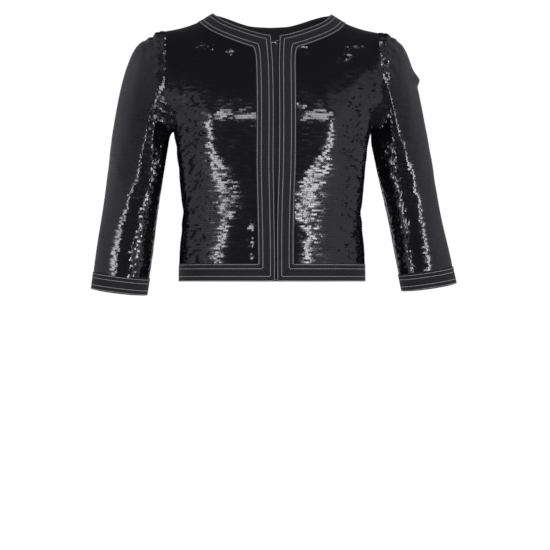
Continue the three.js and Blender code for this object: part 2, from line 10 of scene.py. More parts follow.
import bmesh
import bpy
import numpy as np
from bpy.types import Material, Node, NodeSocket, NodeTree, Object
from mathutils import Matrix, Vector


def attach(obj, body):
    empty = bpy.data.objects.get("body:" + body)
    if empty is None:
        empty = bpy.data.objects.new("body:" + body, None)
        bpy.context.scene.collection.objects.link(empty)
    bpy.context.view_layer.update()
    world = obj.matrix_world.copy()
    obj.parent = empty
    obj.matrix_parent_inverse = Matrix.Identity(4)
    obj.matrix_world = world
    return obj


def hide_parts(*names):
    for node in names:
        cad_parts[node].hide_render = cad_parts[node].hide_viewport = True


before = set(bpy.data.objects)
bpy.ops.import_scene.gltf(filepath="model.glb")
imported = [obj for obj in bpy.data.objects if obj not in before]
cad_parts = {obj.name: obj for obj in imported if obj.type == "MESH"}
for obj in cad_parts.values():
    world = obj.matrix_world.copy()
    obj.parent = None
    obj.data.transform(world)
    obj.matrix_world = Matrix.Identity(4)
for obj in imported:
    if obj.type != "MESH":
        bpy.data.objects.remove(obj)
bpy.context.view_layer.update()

log = logging.getLogger("jacket")
MM = 0.001
BODY = "root"
Array = np.ndarray
Adder = Callable[..., Node]
Places = Mapping[str, NodeSocket]
Detail = dict[str, NodeSocket]
Line = Callable[[Array], tuple[Array, Array]]


# ---- small sums


def mix(a: Array, b: Array, t: Array) -> Array:
    """Gives the value a share t of the way from a to b."""
    return a + (b - a) * t


def smooth(t: Array) -> Array:
    """Eases from 0 to 1 as t goes from 0 to 1."""
    t = np.clip(t, 0.0, 1.0)
    return t * t * (3.0 - 2.0 * t)


def bell(t: Array) -> Array:
    """Gives 1 at zero and falls off softly to both sides."""
    return np.exp(-np.square(t))


def signed_power(value: Array, exponent: Array) -> Array:
    """Raises the size of a value to a power and keeps its sign."""
    return np.sign(value) * np.abs(value) ** exponent


def unit(v: Array) -> Array:
    """Scales vectors to length one."""
    return v / np.maximum(np.linalg.norm(v, axis=-1, keepdims=True), 1e-12)


def root(low: Array, high: Array, rising: Callable[[Array], Array]) -> Array:
    """Finds where a rising function passes zero, for many values at once.

    Args:
        low: Lower ends of the search.
        high: Upper ends of the search.
        rising: The function, which takes and gives arrays.

    Returns:
        The places where the function is zero.
    """
    low, high = np.broadcast_arrays(np.asarray(low, float), np.asarray(high, float))
    low, high = low.copy(), high.copy()
    for _ in range(42):
        middle = (low + high) / 2
        above = rising(middle) > 0
        high = np.where(above, middle, high)
        low = np.where(above, low, middle)
    return (low + high) / 2


def run_along(points: Array) -> Array:
    """Gives the distance of each point of a line from its first."""
    return np.concatenate([[0], np.cumsum(np.linalg.norm(np.diff(points, axis=0), axis=1))])


def nearest(points: Array, line: Array, batch: int = 2000) -> Array:
    """Gives the distance of each point from a line of points.

    Args:
        points: The points.
        line: The points of the line.
        batch: How many points to measure at once.

    Returns:
        The distances.
    """
    gap = np.empty(len(points))
    for start in range(0, len(points), batch):
        some = points[start : start + batch, None]
        gap[start : start + batch] = np.linalg.norm(some - line[None], axis=-1).min(axis=1)
    return gap


class Curve:
    """A short table read as a smooth curve through its rows."""

    def __init__(self, keys: Sequence[float], values: Sequence[float]) -> None:
        """Keeps the rows and works out the slope at each.

        Args:
            keys: Where the rows are, rising.
            values: The value of each row.
        """
        self.keys = np.asarray(keys, float)
        self.values = np.asarray(values, float)
        before = np.maximum(np.arange(len(keys)) - 1, 0)
        after = np.minimum(np.arange(len(keys)) + 1, len(keys) - 1)
        self.slopes = (self.values[after] - self.values[before]) / (self.keys[after] - self.keys[before])

    def __call__(self, at: Array) -> Array:
        """Reads the curve at one or many keys.

        Args:
            at: The keys.

        Returns:
            The values there. Past either end the curve goes on straight.
        """
        at = np.asarray(at, float)
        i = np.clip(np.searchsorted(self.keys, at) - 1, 0, len(self.keys) - 2)
        span = self.keys[i + 1] - self.keys[i]
        t = np.clip((at - self.keys[i]) / span, 0, 1)
        rest = 1 - t
        inside = (
            self.values[i] * (1 + 2 * t) * rest * rest
            + self.values[i + 1] * (3 - 2 * t) * t * t
            + self.slopes[i] * span * t * rest * rest
            - self.slopes[i + 1] * span * rest * t * t
        )
        below = np.minimum(at - self.keys[0], 0) * self.slopes[0]
        above = np.maximum(at - self.keys[-1], 0) * self.slopes[-1]
        return inside + below + above


# ---- the body's form, in millimetres


class Section(NamedTuple):
    """One level section of the body."""

    height: float
    width: float
    front: float
    back: float
    square: float


class Edge(NamedTuple):
    """One row of an edge or of the shoulder line: a height at a distance from the middle."""

    across: float
    height: float


SECTIONS = (
    Section(-430, 147.2, 112.5, 109.0, 2.30),
    Section(-376, 146.4, 109.5, 104.0, 2.30),
    Section(-350, 145.3, 107.5, 100.5, 2.30),
    Section(-325, 142.4, 105.8, 98.0, 2.30),
    Section(-299, 142.3, 106.0, 97.5, 2.30),
    Section(-248, 146.3, 111.0, 101.0, 2.30),
    Section(-210, 150.5, 116.5, 105.0, 2.32),
    Section(-171, 156.0, 120.3, 108.0, 2.35),
    Section(-150, 160.0, 121.0, 109.0, 2.35),
)
SHOULDER = (
    Edge(0, 51), Edge(60, 31), Edge(94, 16.5), Edge(115, 4.2),
    Edge(140, -5), Edge(172, -11.5), Edge(190, -14.5),
)
NECK_FRONT = (Edge(0, -28), Edge(16, -26.5), Edge(47, -16.5), Edge(77, -2), Edge(90, 10), Edge(94, 16.5))
NECK_BACK = (Edge(0, 5.5), Edge(30, 6.5), Edge(48, 10), Edge(66, 14.5), Edge(82, 17), Edge(94, 16.5))
# Half of the opening between the fronts, by height.
OPENING = ((-420, 1.4), (-360, 1.3), (-290, 2.2), (-230, 3.7), (-80, 4.0), (-50, 5.2), (-20, 7.2))


def edge_curve(rows: Sequence[Edge]) -> Curve:
    """Turns rows of an edge into a curve from distance to height."""
    return Curve([r.across for r in rows], [r.height for r in rows])


@dataclass
class BodyForm:
    """The smooth surface that the body panels are cut from.

    around is 0 at the centre front, 0.5 at the side, 1 at the centre back. up is the height below the chest
    and the way over the shoulder line above it.
    """

    chest: float = -150.0
    rise: float = 200.0
    flare: float = 0.15
    shoulder_back: float = 8.0
    tip_across: float = 95.0
    tip_wide: float = 55.0
    slow_spread: float = 0.75
    quick_spread: float = 0.22
    front_roll: tuple[float, float] = (0.30, 0.63)
    back_roll: tuple[float, float] = (0.68, 0.62)
    bust_across: float = 83.0
    bust_wide: float = 42.0
    bust_tall: float = 48.0
    bust_swell: float = 6.0
    tables: dict[str, Curve] = field(init=False)

    def __post_init__(self) -> None:
        """Builds the curves through the section table."""
        keys = [s.height for s in SECTIONS]
        self.tables = {n: Curve(keys, [getattr(s, n) for s in SECTIONS]) for n in Section._fields[1:]}
        self.shoulder = edge_curve(SHOULDER)
        self.top = self.chest + self.rise

    def point(self, around: Array, up: Array) -> Array:
        """Gives points of the surface.

        Args:
            around: Place round the body.
            up: Place up the body.

        Returns:
            Points, in millimetres, with a last axis of three.
        """
        around, up = np.broadcast_arrays(np.asarray(around, float), np.asarray(up, float))
        over = up > self.top
        around = np.where(over, 1 - around, around)
        up = np.where(over, 2 * self.top - up, up)
        turn = around * math.pi
        level = np.minimum(up, self.chest)
        front = np.cos(turn) > 0
        square = 2 / self.tables["square"](level)
        width = self.tables["width"](level)
        depth = np.where(front, self.tables["front"](level), self.tables["back"](level))
        x = width * signed_power(np.sin(turn), square)
        y = -depth * signed_power(np.cos(turn), square)
        x, y, z = self._roll_over(x, y, level, np.maximum(up - self.chest, 0) / self.rise, front)
        swell = self.bust_swell * bell((np.abs(x) - self.bust_across) / self.bust_wide)
        swell = swell * bell((z - self.chest) / self.bust_tall) * smooth(np.cos(turn) * 2.5)
        return np.stack([x, y - np.where(front, swell, 0), z], axis=-1)

    def _roll_over(
        self, x: Array, y: Array, z: Array, way: Array, front: Array
    ) -> tuple[Array, Array, Array]:
        """Takes points of the chest section up and back to the shoulder line.

        Args:
            x: Distances across.
            y: Distances back.
            z: Heights.
            way: How far over the shoulder, from 0 to 1.
            front: Whether the points are in front.

        Returns:
            The moved points, as x, y and z.
        """
        across = np.abs(x)
        quick = smooth((across - self.tip_across) / self.tip_wide)
        ridge = self.shoulder(across * (1 + self.flare))
        rise = np.where(front, self.front_roll[0], self.back_roll[0])
        fall = np.where(front, self.front_roll[1], self.back_roll[1])
        rest = 1 - way
        w = (rest**3, 3 * rest * rest * way, 3 * rest * way * way, way**3)
        behind = mix(self.shoulder_back, y, fall)
        rolled_y = (w[0] + w[1]) * y + w[2] * behind + w[3] * self.shoulder_back
        rolled_z = self.chest * w[0] + mix(self.chest, ridge, rise) * w[1] + ridge * (w[2] + w[3])
        spread = 1 + self.flare * smooth(way / mix(self.slow_spread, self.quick_spread, quick))
        above = way > 0
        return np.where(above, x * spread, x), np.where(above, rolled_y, y), np.where(above, rolled_z, z)

    def tangents(self, around: Array, up: Array) -> tuple[Array, Array]:
        """Gives how a point moves with around and with up.

        Args:
            around: Place round the body.
            up: Place up the body.

        Returns:
            The two tangents.
        """
        a, u = 0.002, 0.5
        across = (self.point(around + a, up) - self.point(around - a, up)) / (2 * a)
        rising = (self.point(around, up + u) - self.point(around, up - u)) / (2 * u)
        return across, rising

    def normal(self, around: Array, up: Array) -> Array:
        """Gives outward unit normals."""
        across, rising = self.tangents(around, up)
        return unit(np.cross(across, rising))

    def walk(self, spot: tuple[Array, Array], direction: Array, distance: Array) -> tuple[Array, Array]:
        """Goes a distance over the surface.

        Args:
            spot: Starting places, as around and up.
            direction: Directions in space.
            distance: How far to go, in millimetres.

        Returns:
            The places reached, as around and up.
        """
        around, up = (np.array(v, float) for v in spot)
        steps = 8
        for _ in range(steps):
            across, rising = self.tangents(around, up)
            normal = unit(np.cross(across, rising))
            way = direction - normal * np.sum(direction * normal, -1, keepdims=True)
            way = unit(way) * (np.asarray(distance)[..., None] / steps)
            pairs = ((across, across), (across, rising), (rising, rising))
            aa, ar, rr = (np.sum(p * q, -1) for p, q in pairs)
            wa, wr = np.sum(way * across, -1), np.sum(way * rising, -1)
            det = aa * rr - ar * ar
            around = around + (rr * wa - ar * wr) / det
            up = up + (aa * wr - ar * wa) / det
        return around, up


# ---- edges and seams


@dataclass
class Pattern:
    """The lines that the panels and trims are cut along, as spots on the body's form.

    A line takes shares of the way along it, t, and gives around and up.
    """

    form: BodyForm
    neck_side: float = 94.0
    hem_front: float = -410.0
    hem_back: float = -410.5
    hem_turns: float = 0.25
    hem_turn_wide: float = 0.4
    tip: float = 0.375
    bottom: float = -170.0
    meets: float = -148.0
    roundness: float = 3.2
    scoop: float = 0.015
    side_around: float = 0.283
    side_leaves: float = -225.0
    side_bend: float = 1.6

    def __post_init__(self) -> None:
        """Works out the corners that several lines share."""
        self.neck_front = edge_curve(NECK_FRONT)
        self.neck_back = edge_curve(NECK_BACK)
        self.opening = Curve(*zip(*OPENING))
        form = self.form
        below = form.top - 1e-6
        self.neck_top = float(root(0.05, 0.3, lambda a: form.point(a, below)[..., 0] - self.neck_side))
        up = np.array(0.0)
        rounds = 12
        for _ in range(rounds):
            up = self.neck_up(self.front_edge(up), self.neck_front)
        self.corner = (float(self.front_edge(up)), float(up))
        self.meets_at = float(root(0.1, 0.999, lambda t: self.meets - self.armhole(t)[1]))
        self.meeting = tuple(float(v) for v in self.armhole(np.array(self.meets_at)))

    def hem_up(self, around: Array) -> Array:
        """Gives the height of the hem, a little lower behind."""
        behind_front = 1 - np.abs(1 - around) - self.hem_turns
        return mix(self.hem_front, self.hem_back, smooth(behind_front / self.hem_turn_wide))

    def front_edge(self, up: Array) -> Array:
        """Gives the place of the front edge at each level.

        Args:
            up: The levels.

        Returns:
            The places round the body.
        """

        def past(around: Array) -> Array:
            """Gives how far places are past the edge."""
            point = self.form.point(around, up)
            return point[..., 0] - self.opening(point[..., 2])

        return root(np.full(np.shape(up), 1e-5), 0.06, past)

    def neck_up(self, around: Array, edge: Curve) -> Array:
        """Gives how far up the neckline lies at each place.

        Args:
            around: Places round the body.
            edge: The neckline, from distance across to height.

        Returns:
            The places up the body.
        """

        def above(up: Array) -> Array:
            """Gives how far places are above the neckline."""
            point = self.form.point(around, up)
            return point[..., 2] - edge(np.minimum(np.abs(point[..., 0]), self.neck_side))

        return root(np.full(np.shape(around), self.form.chest + 30), self.form.top, above)

    def edge_line(self, t: Array) -> tuple[Array, Array]:
        """The front edge, from the hem to the neck."""
        up = mix(self.hem_front, self.corner[1], t)
        return self.front_edge(up), up

    def front_neck(self, t: Array) -> tuple[Array, Array]:
        """The front neckline, from the opening to the shoulder."""
        around = mix(self.corner[0], self.neck_top, np.sin(t * math.pi / 2))
        return around, np.where(t >= 1, self.form.top, self.neck_up(around, self.neck_front))

    def back_neck(self, t: Array) -> tuple[Array, Array]:
        """The back neckline, from the wearer's left shoulder to the right.

        Args:
            t: Shares of the way along it.

        Returns:
            How far round the body, and how high.
        """
        around = mix(1 - self.neck_top, 1 + self.neck_top, (1 - np.cos(t * math.pi)) / 2)
        ends = (t <= 0) | (t >= 1)
        return around, np.where(ends, self.form.top, self.neck_up(around, self.neck_back))

    def neck_line(self, t: Array) -> tuple[Array, Array]:
        """The neckline from the opening over the shoulder to the centre back.

        Args:
            t: Shares of the way along it.

        Returns:
            How far round the body, and how high.
        """
        front = self.front_neck(np.minimum(t * 2, 1))
        around, up = self.back_neck(np.clip(t - 0.5, 0, 1))
        ahead = t <= 0.5
        return np.where(ahead, front[0], 1 - around), np.where(ahead, front[1], 2 * self.form.top - up)

    def shoulder_line(self, t: Array) -> tuple[Array, Array]:
        """The shoulder seam, from the neck to the armhole."""
        return mix(self.neck_top, self.tip, t), np.full(np.shape(t), self.form.top)

    def hem_line(self, t: Array) -> tuple[Array, Array]:
        """The hem, from the centre back to the opening."""
        around = mix(1.0, self.corner_low(), t)
        return around, self.hem_up(around)

    def corner_low(self) -> float:
        """The place of the front edge at the hem."""
        return float(self.front_edge(np.array(self.hem_front)))

    def armhole(self, t: Array) -> tuple[Array, Array]:
        """The front of the armhole, from the shoulder tip to its lowest point.

        Args:
            t: Shares of the way along it.

        Returns:
            How far round the body, and how high.
        """
        turn = np.asarray(t, float) * math.pi / 2
        down = np.sin(turn) ** (2 / self.roundness)
        across = np.maximum(np.cos(turn), 0) ** (2 / self.roundness)
        scoop = self.scoop * np.sin(math.pi * down)
        return 0.5 - (0.5 - self.tip) * across - scoop, mix(self.form.top, self.bottom, down)

    def side_seam(self, t: Array) -> tuple[Array, Array]:
        """The seam between front and side panel, from the hem to the armhole.

        Args:
            t: Shares of the way along it.

        Returns:
            How far round the body, and how high.
        """
        up = mix(self.hem_up(np.array(self.side_around)), self.meeting[1], t)
        bend = np.clip((up - self.side_leaves) / (self.meeting[1] - self.side_leaves), 0, 1)
        return mix(self.side_around, self.meeting[0], bend**self.side_bend), up

    def evenly(self, line: Line, count: int, start: float = 0.0, end: float = 1.0) -> Array:
        """Spaces spots evenly along a line.

        Args:
            line: The line to follow.
            count: How many steps to take.
            start: Where on the line to begin.
            end: Where on the line to stop.

        Returns:
            Spots as an array with columns around and up.
        """
        t = np.linspace(start, end, 1200)
        points = self.form.point(*line(t))
        lengths = run_along(points)
        even = np.interp(np.linspace(0, lengths[-1], count + 1), lengths, t)
        even[0], even[-1] = start, end
        return np.stack(line(even), axis=-1)


def behind(spots: Array) -> Array:
    """Takes spots of the front to the same places at the back."""
    return np.stack([1 - spots[:, 0], spots[:, 1]], axis=-1)


def other_side(spots: Array) -> Array:
    """Takes spots of the back to the other side of the centre back."""
    return np.stack([2 - spots[:, 0], spots[:, 1]], axis=-1)


def patch(bottom: Array, top: Array, left: Array, right: Array) -> Array:
    """Fills the space between four edges with rows of spots.

    Args:
        bottom: Spots along the lower edge.
        top: Spots along the upper edge.
        left: Spots up the left edge.
        right: Spots up the right edge.

    Returns:
        Spots as rows, columns and two values.
    """
    s = np.linspace(0, 1, len(bottom))[None, :, None]
    t = np.linspace(0, 1, len(left))[:, None, None]
    corners = (1 - s) * ((1 - t) * bottom[0] + t * top[0]) + s * ((1 - t) * bottom[-1] + t * top[-1])
    return (1 - t) * bottom[None] + t * top[None] + (1 - s) * left[:, None] + s * right[:, None] - corners


def between(a: Array, b: Array, count: int) -> Array:
    """Spaces spots on the straight way between two."""
    return np.linspace(a, b, count + 1)


# ---- finishes


def linear(hex_colour: str) -> tuple[float, float, float, float]:
    """Turns an sRGB hex colour into linear values.

    Args:
        hex_colour: Colour such as "#2f3036".

    Returns:
        Red, green, blue and alpha, linear.
    """
    values = [int(hex_colour[i : i + 2], 16) / 255 for i in (1, 3, 5)]
    red, green, blue = (v / 12.92 if v <= 0.04045 else ((v + 0.055) / 1.055) ** 2.4 for v in values)
    return red, green, blue, 1.0


def add_node(tree: NodeTree, kind: str, links: dict | None = None, **settings: object) -> Node:
    """Adds a node with its settings, input values and links.

    Args:
        tree: The node tree.
        kind: The node's type.
        links: Input name or index to a value or to an output socket.
        **settings: Properties of the node.

    Returns:
        The new node.
    """
    node = tree.nodes.new(kind)
    for name, value in settings.items():
        setattr(node, name, value)
    for name, value in (links or {}).items():
        socket = node.inputs[name]
        if isinstance(value, NodeSocket):
            tree.links.new(value, socket)
        else:
            socket.default_value = value
    return node


# A wave texture repeats every 0.314 / Scale metres.
WAVE = 0.314


@dataclass(frozen=True)
class Finish:
    """A finish with one shader, whose surface detail a subclass draws."""

    name: str
    colour: str
    roughness: float
    ior: float = 1.5

    def material(self) -> Material:
        """Makes the material once and gives it again later.

        Returns:
            The material.
        """
        if self.name in bpy.data.materials:
            return bpy.data.materials[self.name]
        material = bpy.data.materials.new(self.name)
        material.use_nodes = True
        tree = material.node_tree
        tree.nodes.clear()
        add = partial(add_node, tree)
        same = {"Base Color": linear(self.colour), "Roughness": self.roughness, **self.settings()}
        shader = add("ShaderNodeBsdfPrincipled", same)
        for name, value in self.detail(add, add("ShaderNodeTexCoord").outputs).items():
            tree.links.new(value, shader.inputs[name])
        add("ShaderNodeOutputMaterial", {"Surface": shader.outputs["BSDF"]})
        return material

    def settings(self) -> dict[str, float]:
        """Gives the shader's other values that are the same all over."""
        return {"IOR": self.ior}

    def detail(self, add: Adder, place: Places) -> Detail:
        """Gives the sockets of what the surface shows close to, by the shader's inputs: here none."""
        return {}


@dataclass(frozen=True)
class Sequin(Finish):
    """Stamped black PET film sequins: glossy and flat, so each one mirrors a light or stays black."""

    patch_mm: float = 60.0
    tint: str = "#0c0c10"

    def detail(self, add: Adder, place: Places) -> Detail:
        """Makes the film's gloss a little uneven from place to place, as Finish.detail.

        Args:
            add: Adds a node to the material.
            place: The texture coordinates.

        Returns:
            Sockets for the shader's inputs.
        """
        links = {"Vector": place["Object"], "Scale": 1 / (self.patch_mm * MM), "Detail": 3.0}
        cloud = add("ShaderNodeTexNoise", links).outputs["Fac"]
        gloss = {"Value": cloud, "To Min": self.roughness * 0.75, "To Max": self.roughness * 1.35}
        shades = {0: cloud, 6: linear(self.colour), 7: linear(self.tint)}
        return {
            "Roughness": add("ShaderNodeMapRange", gloss).outputs["Result"],
            "Base Color": add("ShaderNodeMix", shades, data_type="RGBA").outputs[2],
        }


@dataclass(frozen=True)
class Weave(Finish):
    """Plain woven cloth: crossing threads that show as a fine bump."""

    thread_mm: float = 0.6
    depth: float = 0.25
    sheen: float = 0.0
    fleck_mm: float = 2.2

    def settings(self) -> dict[str, float]:
        """Gives the cloth's sheen too."""
        return {"IOR": self.ior, "Sheen Weight": self.sheen}

    def detail(self, add: Adder, place: Places) -> Detail:
        """Draws the two sets of threads along the cloth's own directions, as Finish.detail.

        Args:
            add: Adds a node to the material.
            place: The texture coordinates.

        Returns:
            Sockets for the shader's inputs.
        """
        links = {"Vector": place["UV"], "Scale": WAVE / (self.thread_mm * MM), "Distortion": 0.6}
        warp, weft = (add("ShaderNodeTexWave", links, bands_direction=way).outputs["Fac"] for way in "XY")
        threads = add("ShaderNodeMath", {0: warp, 1: weft}, operation="MULTIPLY").outputs[0]
        bump = add("ShaderNodeBump", {"Height": threads, "Strength": self.depth, "Distance": 0.0003})
        return {"Normal": bump.outputs["Normal"], "Base Color": self.fibres(add, place)}

    def fibres(self, add: Adder, place: Places) -> NodeSocket:
        """Varies the dye a little from thread to thread.

        Args:
            add: Adds a node to the material.
            place: The texture coordinates.

        Returns:
            The colour's socket.
        """
        links = {"Vector": place["Object"], "Scale": 1 / (self.fleck_mm * MM), "Detail": 2.0}
        fleck = add("ShaderNodeTexNoise", links).outputs["Fac"]
        links = {"Value": fleck, "From Min": 0.3, "From Max": 0.7, "To Min": 0.8, "To Max": 1.2}
        light = add("ShaderNodeMapRange", links).outputs["Result"]
        links = {0: 1.0, 6: linear(self.colour), 7: light}
        return add("ShaderNodeMix", links, data_type="RGBA", blend_type="MULTIPLY").outputs[2]


@dataclass(frozen=True)
class Ribbon(Weave):
    """Woven ribbed trim: thick weft ribs run across it, so it looks matt with fine cross lines."""

    rib_mm: float = 1.3

    def settings(self) -> dict[str, float]:
        """Gives the trim's sheen, with its spread."""
        return {"IOR": self.ior, "Sheen Weight": self.sheen, "Sheen Roughness": 0.5}

    def detail(self, add: Adder, place: Places) -> Detail:
        """Draws the ribs across the trim's width, with fine threads on them, as Finish.detail.

        Args:
            add: Adds a node to the material.
            place: The texture coordinates.

        Returns:
            Sockets for the shader's inputs.
        """
        links = {"Vector": place["UV"], "Scale": WAVE / (self.rib_mm * MM), "Distortion": 0.35, "Detail": 2.0}
        ribs = add("ShaderNodeTexWave", links, bands_direction="X").outputs["Fac"]
        links = {"Vector": place["UV"], "Scale": WAVE / (self.thread_mm * MM), "Distortion": 1.0}
        threads = add("ShaderNodeTexWave", links, bands_direction="Y").outputs["Fac"]
        both = add("ShaderNodeMath", {0: threads, 1: 0.35, 2: ribs}, operation="MULTIPLY_ADD").outputs[0]
        bump = add("ShaderNodeBump", {"Height": both, "Strength": self.depth, "Distance": 0.0004})
        return {"Normal": bump.outputs["Normal"], "Base Color": self.fibres(add, place)}


@dataclass(frozen=True)
class Thread(Finish):
    """Twisted polyester sewing thread: pale, with slanting plies."""

    ply_mm: float = 0.5

    def detail(self, add: Adder, place: Places) -> Detail:
        """Draws the plies as a fine slanting bump, as Finish.detail.

        Args:
            add: Adds a node to the material.
            place: The texture coordinates.

        Returns:
            Sockets for the shader's inputs.
        """
        links = {"Vector": place["Object"], "Scale": WAVE / (self.ply_mm * MM), "Distortion": 1.0}
        ply = add("ShaderNodeTexWave", links, bands_direction="DIAGONAL").outputs["Fac"]
        bump = add("ShaderNodeBump", {"Height": ply, "Strength": 0.3, "Distance": 0.0001})
        return {"Normal": bump.outputs["Normal"]}


@dataclass(frozen=True)
class Wire(Finish):
    """Drawn nickel-plated steel wire: bright metal, a little scuffed."""

    scuff_mm: float = 0.8

    def settings(self) -> dict[str, float]:
        """Wire is a metal, with the default IOR."""
        return {"Metallic": 1.0}

    def detail(self, add: Adder, place: Places) -> Detail:
        """Scuffs the plating slightly, as Finish.detail.

        Args:
            add: Adds a node to the material.
            place: The texture coordinates.

        Returns:
            Sockets for the shader's inputs.
        """
        links = {"Vector": place["Object"], "Scale": 1 / (self.scuff_mm * MM), "Detail": 4.0}
        scuff = add("ShaderNodeTexNoise", links).outputs["Fac"]
        links = {"Value": scuff, "To Min": self.roughness * 0.7, "To Max": self.roughness * 1.4}
        return {"Roughness": add("ShaderNodeMapRange", links).outputs["Result"]}


@dataclass(frozen=True)
class StudioWhite(Finish):
    """Matt white studio floor."""

    tint: str = "#f4f4f4"

    def detail(self, add: Adder, place: Places) -> Detail:
        """Gives the floor a hardly visible mottle, as Finish.detail.

        Args:
            add: Adds a node to the material.
            place: The texture coordinates.

        Returns:
            Sockets for the shader's inputs.
        """
        cloud = add("ShaderNodeTexNoise", {"Vector": place["Object"], "Scale": 3.0}).outputs["Fac"]
        links = {0: cloud, 6: linear(self.colour), 7: linear(self.tint)}
        return {"Base Color": add("ShaderNodeMix", links, data_type="RGBA").outputs[2]}


SEQUIN = Sequin("stamped_film_sequins", "#09090c", 0.13, 1.52)
BACKING = Weave("black_net_backing", "#0b0b0d", 0.9, thread_mm=0.9, depth=0.4)
PLAIN_CLOTH = Weave("plain_black_cloth", "#08080a", 0.85, 1.36, thread_mm=0.5, depth=0.2)
LINING = Weave("black_satin_inside", "#131316", 0.5, thread_mm=0.35, depth=0.15, sheen=0.1)
TRIM_FINISH = Ribbon("charcoal_ribbed_trim", "#19191c", 0.85, 1.36, thread_mm=0.5, depth=0.4, sheen=0.05)
THREAD_FINISH = Thread("pale_grey_sewing_thread", "#a8a7a6", 0.6)
WIRE_FINISH = Wire("nickel_plated_wire", "#a9abb0", 0.28)
FLOOR_FINISH = StudioWhite("matt_white_floor", "#efefef", 0.8)


class Slot(Enum):
    """The record's material slots."""

    SEQUINNED = "sequinned_cloth"
    TRIM = "woven_trim"
    PLAIN = "plain_black_cloth"
    WIRE = "hook_wire"


# ---- meshes


@dataclass
class Sheet:
    """A grid of outer points of a piece of cloth, with normals and pattern coordinates in millimetres."""

    points: Array
    normals: Array
    flat: Array
    tube: bool = False

    def mirrored(self) -> "Sheet":
        """Gives the same sheet on the wearer's other side.

        Returns:
            The mirrored sheet.
        """
        turn = np.array([-1.0, 1.0, 1.0])
        flat = self.flat * np.array([-1.0, 1.0])
        return Sheet(self.points[:, ::-1] * turn, self.normals[:, ::-1] * turn, flat[:, ::-1], self.tube)

    def moved(self, offset: Array) -> "Sheet":
        """Moves each point along its normal by its offset in millimetres, and works out fresh normals."""
        points = self.points + self.normals * np.asarray(offset)[..., None]
        return Sheet(points, grid_normals(points, self.tube, self.normals), self.flat, self.tube)


def grid_normals(points: Array, tube: bool, like: Array) -> Array:
    """Works out a grid's normals from its neighbours, on the same side as known ones.

    Args:
        points: The grid, in rows and columns.
        tube: Whether the first and the last column are the same.
        like: Normals on the right side.

    Returns:
        The unit normals.
    """
    along = np.gradient(points, axis=0)
    if tube:
        ring = points[:, :-1]
        around = np.roll(ring, -1, axis=1) - np.roll(ring, 1, axis=1)
        around = np.concatenate([around, around[:, :1]], axis=1)
    else:
        around = np.gradient(points, axis=1)
    normal = unit(np.cross(around, along))
    facing = np.sign(np.sum(normal * like, -1, keepdims=True))
    return normal * np.where(facing == 0, 1, facing)


def new_object(name: str, vertices: Array, faces: Sequence[Array], uv: Array | None = None) -> Object:
    """Makes a mesh object in metres from points in millimetres.

    Args:
        name: The object's name.
        vertices: Points, in millimetres.
        faces: Arrays of faces, each with the same number of corners in a row.
        uv: Pattern coordinates of each vertex, in millimetres.

    Returns:
        The linked object.
    """
    mesh = bpy.data.meshes.new(name)
    mesh.from_pydata((vertices * MM).tolist(), [], [f for part in faces for f in part.tolist()])
    if uv is not None:
        layer = mesh.uv_layers.new(name="UVMap")
        corners = np.empty(len(mesh.loops), dtype=np.int32)
        mesh.loops.foreach_get("vertex_index", corners)
        layer.data.foreach_set("uv", (uv[corners] * MM).astype(np.float32).ravel())
    mesh.update()
    made = bpy.data.objects.new(name, mesh)
    bpy.context.scene.collection.objects.link(made)
    return made


def quads(rows: int, columns: int, start: int = 0, turned: bool = False) -> Array:
    """Gives the faces of a grid of points.

    Args:
        rows: Rows of points.
        columns: Points in a row.
        start: The number of the first point.
        turned: Whether the faces look the other way.

    Returns:
        Four point numbers for each face.
    """
    r, c = np.meshgrid(np.arange(rows - 1), np.arange(columns - 1), indexing="ij")
    a = (start + r * columns + c).ravel()
    corners = [a, a + 1, a + columns + 1, a + columns]
    return np.stack(corners[::-1] if turned else corners, axis=-1)


def shell(name: str, sheet: Sheet, thickness: float, finishes: Sequence[Finish]) -> Object:
    """Makes cloth with an outer face, an inner face and its cut edges.

    Args:
        name: The object's name.
        sheet: The grid of outer points.
        thickness: The cloth's thickness, in millimetres.
        finishes: The finish outside, and the one inside.

    Returns:
        The closed cloth.
    """
    rows, columns = sheet.points.shape[:2]
    outer = sheet.points.reshape(-1, 3)
    inner = (sheet.points - sheet.normals * thickness).reshape(-1, 3)
    count = len(outer)
    across = np.cross(sheet.points[0, 1] - sheet.points[0, 0], sheet.points[1, 0] - sheet.points[0, 0])
    turned = bool(np.dot(across, sheet.normals[0, 0]) < 0)
    outside = quads(rows, columns, 0, turned)
    inside = quads(rows, columns, count, not turned)
    edges = [(np.arange(columns), True), (np.arange(columns) + (rows - 1) * columns, False)]
    if not sheet.tube:
        edges += [(np.arange(rows) * columns, False), (np.arange(rows) * columns + columns - 1, True)]
    rims = []
    for line, forward in edges:
        a, b = line[:-1], line[1:]
        order = [a, a + count, b + count, b] if forward != turned else [b, b + count, a + count, a]
        rims.append(np.stack(order, axis=-1))
    uv = np.concatenate([sheet.flat.reshape(-1, 2)] * 2)
    made = new_object(name, np.concatenate([outer, inner]), [outside, inside, *rims], uv)
    mesh = made.data
    if sheet.tube:
        weld(made)
    for finish in finishes:
        mesh.materials.append(finish.material())
    slots = np.zeros(len(mesh.polygons), dtype=np.int32)
    slots[len(outside) : len(outside) + len(inside)] = len(finishes) - 1
    mesh.polygons.foreach_set("material_index", slots)
    flags = np.ones(len(mesh.polygons), dtype=bool)
    flags[len(outside) + len(inside) :] = False
    mesh.polygons.foreach_set("use_smooth", flags)
    return made


def weld(thing: Object) -> None:
    """Joins the two edges of a tube's lengthwise seam, face order kept.

    Args:
        thing: The tube.
    """
    made = bmesh.new()
    made.from_mesh(thing.data)
    bmesh.ops.remove_doubles(made, verts=made.verts, dist=2e-6)
    made.to_mesh(thing.data)
    made.free()


